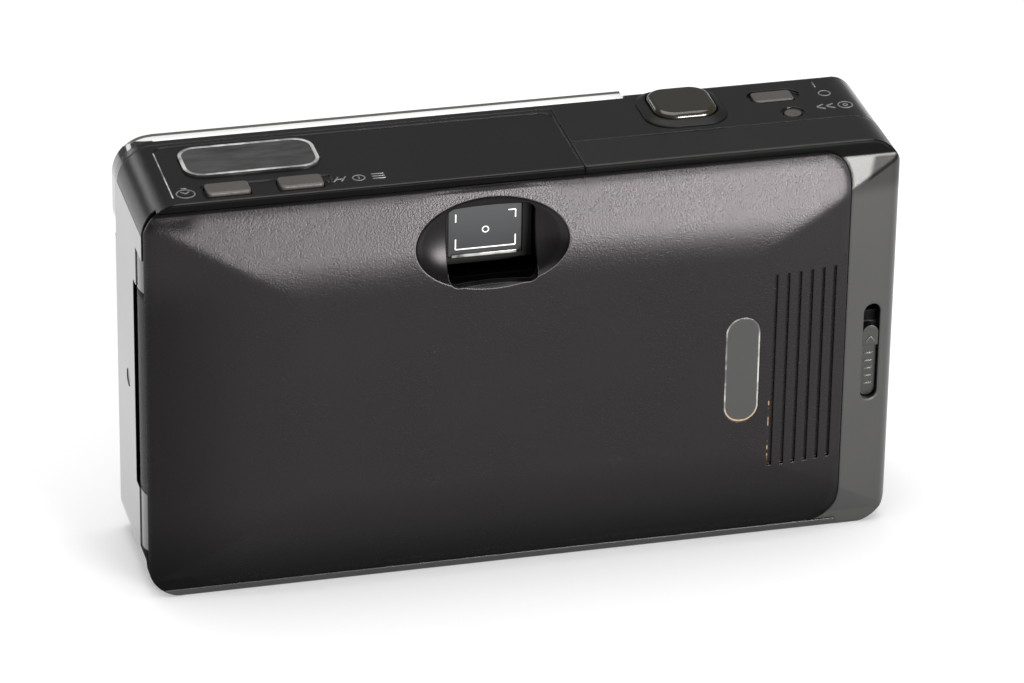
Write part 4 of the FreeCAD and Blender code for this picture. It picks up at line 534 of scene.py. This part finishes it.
class FILMCAMERA_OT_door_finish(bpy.types.Operator):
    """Give the back door its grained satin and its fittings their finishes"""
    bl_idname = "film_camera.door_finish"
    bl_label = "Finish back door"

    def execute(self, context):
        paint(["back_door"],
              moulded("door_black", tuple(colours().door), rough=0.28, grain=sizes().grain,
                      depth=45 * MICRON, spread=0.05, ior=1.36, form=self.pillow,
                      wear_and_glint=self.lip_glint_and_wear, shade=self.shadow, even=self.bare, sheen=ROSY_SHEEN))
        paint(["film_window"],
              glassy("window_clear", (0.049, 0.048, 0.047), rough=0.10, body=0.75))
        paint(["door_seal"],
              moulded("seal_foam", (0.01, 0.01, 0.01), rough=0.95, grain=1800.0,
                      depth=200 * MICRON))
        paint(["plate_springs", "cassette_spring"],
              metal("spring_strip", (0.55, 0.55, 0.55), rough=0.3))
        paint(["pressure_plate"],
              moulded("plate_black", (0.012, 0.012, 0.012), rough=0.35, grain=900.0,
                      depth=10 * MICRON))
        paint(["hinge_pin"], metal("pin_steel", (0.5, 0.5, 0.5), rough=0.25, stretch=(1, 1, 6)))
        return {"FINISHED"}

    def lip_glint_and_wear(self, f, base):
        """Painted highlight on the hollow's edge below its top, and brown wear on the first
        groove's edge lower down.
        """
        # Painted highlight: pale grey along the sharp edge of the hollow
        lip_highlight = f.sharp_edges(0.0002) * self.dish(f, LIP_OUTSIDE) * (1 - self.dish(f, LIP_INSIDE))
        base = f.blend(lip_highlight * (1 - f.axis(2).smooth(*LIP_HEAD)), base, (0.17, 0.165, 0.16))
        edge = f.inside(*WORN_FIELD, WORN_BORDER)
        patches = f.noise(700.0).smooth(0.46, 0.56)
        return f.blend(edge * patches, base, (0.30, 0.19, 0.09))

    @staticmethod
    def dish(f, fade):
        """One inside the oval hollow round the eyepiece."""
        across = (f.axis(0) - DISH_MIDDLE[0]) * (1 / DISH_REACH[0])
        up = (f.axis(2) - DISH_MIDDLE[1]) * (1 / DISH_REACH[1])
        return 1 - (across * across + up * up).smooth(*fade)

    def pillow(self, f):
        """The slopes of the door run softly into each other, but its cut-outs stay crisp."""
        pane = f.inside(*PANE_FIELD, FIELD_BORDER)
        grooves = f.inside(*GROOVE_FIELD, FIELD_BORDER)
        crisp = self.dish(f, DISH_CRISP) + pane + grooves
        return f.turn_between(crisp, f.soft_edge(0.0024), f.soft_edge(0.0003))

    def bare(self, f):
        """The hollow has no grain."""
        return self.dish(f, DISH_BARE)

    def shadow(self, f):
        """Painted shade: flat black mixed into the hollow, along the top edge, and towards the
        foot and the hinges.
        """
        along, height = f.axis(0), f.axis(2)
        foot = (1 - height.smooth(*DOOR_FOOT)) * 0.65
        side = (1 - along.smooth(*DOOR_SIDE)) * (1 - height.smooth(*SIDE_HEAD)) * 0.4
        top = height.smooth(*DOOR_HEAD) * (1 - foot) * 0.85
        return self.dish(f, DISH_DARK) * 0.35 + top + foot + side * (1 - foot)


class FILMCAMERA_OT_control_finish(bpy.types.Operator):
    """Give the buttons, the collar, the latch and the display their finishes"""
    bl_idname = "film_camera.control_finish"
    bl_label = "Finish controls"

    def execute(self, context):
        paint(["timer_button", "mode_button", "power_button", "rewind_button"],
              moulded("button_grey", tuple(colours().buttons), rough=0.42, grain=2600.0,
                      depth=80 * MICRON))
        paint(["latch_slider"],
              moulded("slider_grey", (0.016, 0.016, 0.016), rough=0.35, grain=2600.0,
                      depth=20 * MICRON, shade=self.slot_shade))
        paint(["release_button"],
              moulded("release_olive", tuple(colours().release), rough=0.22, grain=900.0,
                      depth=4 * MICRON, spread=0.03, coat=0.6))
        paint(["release_collar"],
              moulded("collar_black", (0.004, 0.004, 0.004), rough=0.50, grain=2600.0,
                      depth=10 * MICRON, ior=1.35, edge=0.0005))
        paint(["display_window"],
              glassy("display_clear", (0.20, 0.204, 0.20), body=0.45, smear=0.15, streak=-0.5))
        paint(["display_panel"], self.panel())
        return {"FINISHED"}

    @staticmethod
    def slot_shade(f):
        """Painted shade: the bar over the tab lies deep in the slot, so it is mixed towards flat
        black.
        """
        return f.axis(2).smooth(*TAB_TOP) * 0.9

    @staticmethod
    def panel():
        """The switched-off display, grey in uneven streaks."""
        f = Finish("display_grey")
        streaks = f.noise(160.0, 4.0, 0.6, (1, 5, 1)).smooth(0.35, 0.68)
        base = f.blend(streaks, (0.008, 0.009, 0.0085), (0.055, 0.056, 0.054))
        return f.surface(Base_Color=base, Roughness=streaks * 0.1 + 0.25)


class FILMCAMERA_OT_inside_finish(bpy.types.Operator):
    """Give the film path, the gears, the lens and the electronics their finishes"""
    bl_idname = "film_camera.inside_finish"
    bl_label = "Finish inside"

    def execute(self, context):
        inside = tuple(colours().inside)
        paint(["chassis", "lens_mount", "take_up_spool", "sprocket_wheel"],
              moulded("inside_flat", inside, rough=0.6, grain=1200.0, depth=30 * MICRON))
        paint(["viewfinder_body"],
              moulded("finder_black", (0.001, 0.001, 0.001), rough=0.6, grain=1200.0,
                      depth=30 * MICRON, ior=1.3))
        paint(["compound_gear", "idler_gear_right", "idler_gear_middle", "idler_gear_left",
               "rewind_fork"],
              moulded("gear_acetal", (0.62, 0.61, 0.56), rough=0.35, grain=700.0,
                      depth=10 * MICRON))
        paint(["motor_pinion", "tripod_bush", "film_contacts"],
              metal("turned_brass", (0.62, 0.47, 0.2), rough=0.3, stretch=(1, 1, 5)))
        paint(["drive_motor", "strap_bar", "battery_contact", "cover_screws"],
              metal("dark_steel", (0.35, 0.35, 0.36), rough=0.3, stretch=(1, 1, 4)))
        paint(["lens_barrel"],
              moulded("barrel_black", inside, rough=0.32, grain=1500.0, depth=10 * MICRON,
                      coat=0.3))
        paint(["shutter_plate", "shutter_blade_left", "shutter_blade_right",
               "barrier_blade_upper", "barrier_blade_lower"],
              moulded("blade_black", (0.014, 0.014, 0.015), rough=0.3, grain=800.0,
                      depth=5 * MICRON))
        paint(["front_lens", "rear_lens", "finder_lens"], self.coated())
        paint(["eyepiece_glass"], self.eyepiece())
        paint(["flash_window", "viewfinder_window", "flash_tube"],
              glassy("front_clear", (0.9, 0.91, 0.92)))
        paint(["focus_windows", "light_sensor", "timer_lamp"],
              glassy("smoked", (0.10, 0.05, 0.05), body=0.35))
        paint(["flash_reflector"],
              metal("reflector_bright", (0.9, 0.9, 0.9), rough=0.12, stretch=(1, 5, 5)))
        paint(["flash_capacitor"],
              moulded("capacitor_sleeve", (0.012, 0.012, 0.02), rough=0.4, grain=400.0,
                      depth=10 * MICRON))
        paint(["circuit_board", "display_board"], self.board())
        paint(["battery_cell"],
              moulded("cell_sleeve", (0.12, 0.12, 0.14), rough=0.35, grain=300.0,
                      depth=5 * MICRON))
        return {"FINISHED"}

    @staticmethod
    def coated():
        """Lens glass with a faint violet coating."""
        f = Finish("coated_glass")
        tint = f.noise(90.0)
        base = f.blend(tint, (0.72, 0.74, 0.86), (0.86, 0.8, 0.88))
        return f.surface(Base_Color=base, Roughness=tint * 0.02 + 0.01, Transmission_Weight=1.0,
                         Ior=1.5)

    @staticmethod
    def eyepiece():
        """The rear lens of the finder, whose colour is painted light: the dim grey scene it sends
        to the eye, lighter towards the top.
        """
        f = Finish("finder_glass")
        height = f.axis(2).smooth(*FINDER_HEIGHT)
        tone = f.blend(height, (0.022, 0.023, 0.024), (0.045, 0.046, 0.048))
        smear = f.noise(220.0, 3.0)
        return f.surface(Base_Color=tone, Roughness=smear * 0.1 + 0.03, Ior=1.5)

    @staticmethod
    def board():
        """Green board with lighter tracks."""
        f = Finish("board_green")
        tracks = f.noise(500.0, 0.0, 0.5, (1, 4, 1)).smooth(0.48, 0.52)
        base = f.blend(tracks, (0.012, 0.07, 0.03), (0.03, 0.13, 0.05))
        return f.surface(Base_Color=base, Roughness=tracks * 0.1 + 0.3)


# Small pieces

def mark_finish(name, tone):
    """Glossy grey for raised signs."""
    return moulded(name, (tone, tone * 0.98, tone * 0.95), rough=0.25, grain=1500.0,
                   depth=10 * MICRON, coat=0.6)


class FILMCAMERA_OT_top_marks(bpy.types.Operator):
    """Add the plain signs beside the controls on the top"""
    bl_idname = "film_camera.top_marks"
    bl_label = "Add top signs"

    def execute(self, context):
        finish = mark_finish("mark_grey", 0.19)
        for name, build in (("timer_sign", self.clock), ("mode_sign", self.modes),
                            ("power_sign", self.power), ("rewind_sign", self.rewind)):
            piece = unite(name, build())
            close(piece, "housing", finish)
        return {"FINISHED"}

    @staticmethod
    def stroke(x, y, length, turn=0.0, z=TOP):
        size = (length, sizes().mark_width, sizes().mark_height)
        return bar(at(x, y, z + size[2] / 2 - SUNK), size, 0.3, (0, 0, math.radians(turn)))

    @staticmethod
    def loop(x, y, radius, z=TOP):
        return ring(at(x, y, z), radius, 0.13, flat=0.55)

    def clock(self):
        """A loop with two hands and a button over it."""
        x, y = -54.36, BUTTON_ROW
        return [self.loop(x, y, 1.45, INSET), self.stroke(x - 0.35, y + 0.35, 1.1, 135, INSET),
                self.stroke(x + 0.35, y + 0.35, 1.0, 45, INSET),
                self.stroke(x, y + 1.9, 0.9, 0, INSET)]

    def modes(self):
        """A slanted pair with a dash, a crossed loop and three lines."""
        y, pair, loop, lines = BUTTON_ROW, -29.7, -26.64, -23.49
        parts = [self.stroke(pair + dx, y, 1.9, 60, INSET) for dx in (-0.61, 0.61)]
        parts += [self.stroke(pair, y, 1.3, 0, INSET), self.loop(loop, y, 0.95, INSET),
                  self.stroke(loop, y, 0.7, 90, INSET)]
        parts += [self.stroke(lines, y + dy, 2.1, 0, INSET) for dy in (-0.8, 0, 0.8)]
        return parts

    def power(self):
        """A line and a loop."""
        return [self.stroke(53.44, 22.1, 1.9, 90), self.loop(54.26, 18.65, 0.95)]

    def rewind(self):
        """A loop with a dot, and two arrowheads that point away from it."""
        x, y = 56.29, 13.65
        parts = [self.loop(x, y, 1.15), self.loop(x, y, 0.35)]
        for tip in (x - 4.17, x - 2.54):
            parts += [self.stroke(tip, y + 0.46, 1.5, 30), self.stroke(tip, y - 0.46, 1.5, -30)]
        return parts


def rim_finish(name, low, high, stain=None):
    """Painted highlight: a clear plastic edge drawn pale in streaks where it catches the light,
    and maybe stained at its foot.
    """
    f = Finish(name)
    streaks = f.noise(260.0, 3.0, 0.6).smooth(0.35, 0.65)
    tone = f.blend(streaks, low, high)
    if stain:
        tone = f.blend(1 - f.axis(2).smooth(*STAIN_END), tone, stain)
    return f.surface(Base_Color=tone, Roughness=streaks * 0.1 + 0.1, Coat_Weight=0.6)


class FILMCAMERA_OT_window_rims(bpy.types.Operator):
    """Add painted highlights on the edges of the clear windows and of the step in the top"""
    bl_idname = "film_camera.window_rims"
    bl_label = "Add window rims"

    def execute(self, context):
        # The pale, dim and ledge finishes paint highlights onto opaque strips at the edges
        pale = rim_finish("rim_highlight", (0.16, 0.16, 0.155), (0.62, 0.61, 0.59))
        dim = rim_finish("rim_stained_highlight", (0.05, 0.05, 0.048), (0.34, 0.33, 0.31),
                         stain=(0.30, 0.20, 0.11))
        glow = rim_finish("ledge_highlight", (0.015, 0.015, 0.015), (0.42, 0.41, 0.40))
        spot, size = extent("display_window")
        spot.z = (TOP + 0.06) * MM
        display = rim(spot, size.xy, corner=3.3, band=0.62, rise=0.22)
        close(unite("display_rim", [display]), "housing", pale)
        spot, size = extent("film_window")
        spot.y = at(0, -3.14, 0).y
        pane = rim(spot, size.xz + Vector((PANE_OVERLAP, PANE_OVERLAP)), corner=2.85, band=0.3,
                   rise=0.14, turn=UPRIGHT)
        close(unite("pane_rim", [pane]), "door", dim)
        step = bar(at(-56.62, 11.0, TOP - 0.03), (0.22, 16.6, 0.1), bevel=0.45)
        close(unite("inset_step_edge", [step]), "housing", pale)
        ledge = bar(at(-6.6, 2.25, 55.25), (10.6, 0.14, 0.5), bevel=0.45)
        close(unite("finder_ledge", [ledge]), "housing", glow)
        close(unite("panel_brow", [self.brow()]), "housing", self.brow_highlight())
        return {"FINISHED"}

    @staticmethod
    def brow():
        """Strip along the window panel's top, run round the housing's left corner, that carries a
        painted highlight.
        """
        left, right, radius, thick, y, deep = -55.9, 21.8, 6.1, 0.5, 25.1, 2.96
        piece = bar(at((left + right) / 2, y, TOP + 0.03 - thick / 2),
                    (right - left, deep, thick), bevel=0.3)
        bpy.ops.object.mode_set(mode="EDIT")
        bpy.ops.mesh.select_all(action="DESELECT")
        bpy.ops.mesh.select_mode(type="FACE")
        bpy.ops.object.mode_set(mode="OBJECT")
        for face in piece.data.polygons:
            face.select = face.normal.x < -0.9
        bpy.ops.object.mode_set(mode="EDIT")
        bpy.ops.mesh.spin(steps=12, angle=math.radians(62), center=at(left, y, TOP - radius),
                          axis=(0, 1, 0))
        bpy.ops.object.mode_set(mode="OBJECT")
        return piece

    @staticmethod
    def brow_highlight():
        """Painted highlight: near white along the window panel's top where the rounding catches
        the light, grey where it turns to the front.
        """
        f = Finish("brow_painted_highlight")
        haze = f.noise(120.0)
        front = f.axis(1).smooth(*BROW_FRONT)
        tone = f.blend(haze, (0.80, 0.80, 0.79), (0.88, 0.88, 0.87))
        tone = f.blend(front, tone, (0.11, 0.10, 0.09))
        return f.surface(Base_Color=tone, Roughness=haze * 0.1 + 0.15)


class FILMCAMERA_OT_latch_marks(bpy.types.Operator):
    """Add the arrow and the ridges that stand on the latch slider"""
    bl_idname = "film_camera.latch_marks"
    bl_label = "Add latch signs"

    def execute(self, context):
        x, tab, slope, arrow, lowest, pitch = 57.8, 0.39, -0.43, 34.2, 25.7, 1.38
        parts = [bar(at(x + dx, slope, arrow), (1.2, 0.12, 0.22), 0.3, (0, math.radians(turn), 0))
                 for turn, dx in ((-50, -0.4), (50, 0.4))]
        parts += [bar(at(x, tab, lowest + pitch * index), (1.5, 0.14, 0.3), 0.3)
                  for index in range(5)]
        close(unite("latch_signs", parts), "latch", mark_finish("latch_mark", 0.07))
        return {"FINISHED"}


class FILMCAMERA_OT_finder_frame(bpy.types.Operator):
    """Add the bright frame lines that show in the viewfinder's eyepiece"""
    bl_idname = "film_camera.finder_frame"
    bl_label = "Add finder frame"

    def execute(self, context):
        f = Finish("frame_lines")
        glow = f.noise(400.0)
        tone = f.blend(glow, (0.7, 0.68, 0.62), (0.9, 0.88, 0.82))
        # Painted light: the pale printed lines also glow, as if lit inside the finder
        finish = f.surface(Base_Color=tone, Roughness=glow * 0.1 + 0.4,
                           Emission_Color=tone, Emission_Strength=0.35)
        left, right, low, high = -11.26, -1.48, 56.35, 62.56
        y, thin, line = 2.37, 0.06, 0.2
        middle = (left + right) / 2
        strokes = [(middle, low, right - left, line)]
        for x in (left, right):
            strokes += [(x, low + 0.9, line, 1.8), (x, high - 0.7, line, 1.4)]
        strokes += [(right - 0.6, high, 1.2, line)]
        parts = [bar(at(x, y, z), (wide, thin, tall), 0.2) for x, z, wide, tall in strokes]
        parts.append(ring(at(middle, y, 59.5), 0.5, 0.09, flat=0.4, turn=UPRIGHT, sides=24))
        close(unite("finder_frame_lines", parts), "housing", finish)
        return {"FINISHED"}


class FILMCAMERA_OT_flash_ribs(bpy.types.Operator):
    """Add the ribs that spread the light of the flash window"""
    bl_idname = "film_camera.flash_ribs"
    bl_label = "Add flash ribs"

    def execute(self, context):
        low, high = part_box("flash_window")
        count = sizes().flash_ribs
        margin, rise = 0.8, 0.08
        step = ((high[0] - low[0]) / MM - 2 * margin) / count
        first = bar(Vector((low[0] + (margin + step / 2) * MM, high[1], (low[2] + high[2]) / 2)),
                    (step * 0.9, rise, (high[2] - low[2]) / MM - 1.2), bevel=0.45)
        modify(first, "ARRAY", count=count, use_relative_offset=False, use_constant_offset=True,
               constant_offset_displace=(step * MM, 0, 0))
        close(unite("flash_ribs", [first]), "housing",
              glassy("rib_clear", (0.85, 0.87, 0.9)))
        return {"FINISHED"}


# Studio

class FILMCAMERA_OT_studio(bpy.types.Operator):
    """Set up the pale floor, the soft lights and the camera"""
    bl_idname = "film_camera.studio"
    bl_label = "Set up studio"

    def execute(self, context):
        self.floor()
        self.world()
        for lamp in LAMPS:
            self.softbox(*lamp)
        self.camera()
        context.scene.view_settings.view_transform = "Standard"
        return {"FINISHED"}

    @staticmethod
    def floor():
        """Pale cloth, lifted to white for the camera and in what glass and gloss show of it."""
        settle()
        bpy.ops.mesh.primitive_plane_add(size=8.0, location=(0, 0, 0))
        piece = begin("floor")
        f = Finish("floor_white")
        speck = f.noise(30.0)
        tone = f.blend(speck, (0.80, 0.80, 0.80), (0.82, 0.82, 0.82))
        cloth = f.node("ShaderNodeBsdfDiffuse", None, {"Color": tone})
        lift = f.node("ShaderNodeEmission", None, {"Strength": FLOOR_LIFT})
        lit = f.node("ShaderNodeAddShader", None, {0: cloth, 1: lift})
        seen = f.rays("Is Camera Ray", "Is Glossy Ray", "Is Transmission Ray")
        f.end(f.node("ShaderNodeMixShader", None, {0: seen, 1: cloth, 2: lit}))
        piece.data.materials.append(f.owner)

    @staticmethod
    def world():
        """Dim light all round that the camera, also through glass, sees as white."""
        world = bpy.data.worlds.new("studio_air")
        bpy.context.scene.world = world
        f = Finish("studio_air", world)
        white = (1, 1, 1, 1)
        dim, bright = (f.node("ShaderNodeBackground", None, {"Color": white, "Strength": power})
                       for power in (AMBIENT, 1.0))
        seen = f.rays("Is Camera Ray", "Is Transmission Ray")
        f.end(f.node("ShaderNodeMixShader", None, {0: seen, 1: dim, 2: bright}),
              "ShaderNodeOutputWorld")

    @staticmethod
    def softbox(name, place, size, power):
        data = bpy.data.lights.new(name, "AREA")
        data.shape = "RECTANGLE"
        data.size, data.size_y = size
        data.energy = power
        light = bpy.data.objects.new(name, data)
        bpy.context.collection.objects.link(light)
        light.location = place
        aim = Vector(AIM) - Vector(place)
        light.rotation_euler = aim.to_track_quat("-Z", "Y").to_euler()

    @staticmethod
    def camera():
        data = bpy.data.cameras.new("view")
        data.sensor_width = CAMERA_SENSOR
        data.lens = CAMERA_LENS
        data.clip_end = 20.0
        camera = bpy.data.objects.new("view", data)
        bpy.context.collection.objects.link(camera)
        axes = (Vector(CAMERA_RIGHT), -Vector(CAMERA_DOWN), -Vector(CAMERA_AHEAD))
        turn = Matrix(axes).transposed().to_4x4()
        camera.matrix_world = Matrix.Translation(CAMERA_PLACE) @ turn
        bpy.context.scene.camera = camera


class FILMCAMERA_PT_panel(bpy.types.Panel):
    """Sizes, colours and one button for each step"""
    bl_idname = "FILMCAMERA_PT_panel"
    bl_label = "Film Camera"
    bl_space_type = "VIEW_3D"
    bl_region_type = "UI"
    bl_category = "Film Camera"

    def draw(self, context):
        for group in (context.scene.film_camera_sizes, context.scene.film_camera_colours):
            for name in group.__annotations__:
                self.layout.prop(group, name)
        for step in STEPS:
            self.layout.operator(step.bl_idname)


GROUPS = (FilmCameraSizes, FilmCameraColours)
STEPS = (FILMCAMERA_OT_cover_finish, FILMCAMERA_OT_door_finish, FILMCAMERA_OT_control_finish,
         FILMCAMERA_OT_inside_finish, FILMCAMERA_OT_top_marks, FILMCAMERA_OT_window_rims,
         FILMCAMERA_OT_latch_marks, FILMCAMERA_OT_finder_frame, FILMCAMERA_OT_flash_ribs,
         FILMCAMERA_OT_studio)


def register():
    for item in (*GROUPS, *STEPS, FILMCAMERA_PT_panel):
        bpy.utils.register_class(item)
    bpy.types.Scene.film_camera_sizes = PointerProperty(type=FilmCameraSizes)
    bpy.types.Scene.film_camera_colours = PointerProperty(type=FilmCameraColours)


def unregister():
    del bpy.types.Scene.film_camera_colours
    del bpy.types.Scene.film_camera_sizes
    for item in reversed((*GROUPS, *STEPS, FILMCAMERA_PT_panel)):
        bpy.utils.unregister_class(item)


def run(step):
    """Run one operator, and stop if it doesn't finish."""
    group, name = step.bl_idname.split(".")
    if getattr(getattr(bpy.ops, group), name)() != {"FINISHED"}:
        raise RuntimeError(step.bl_label + " didn't finish")


def main():
    register()
    for step in STEPS:
        run(step)


if __name__ == "__main__":
    main()
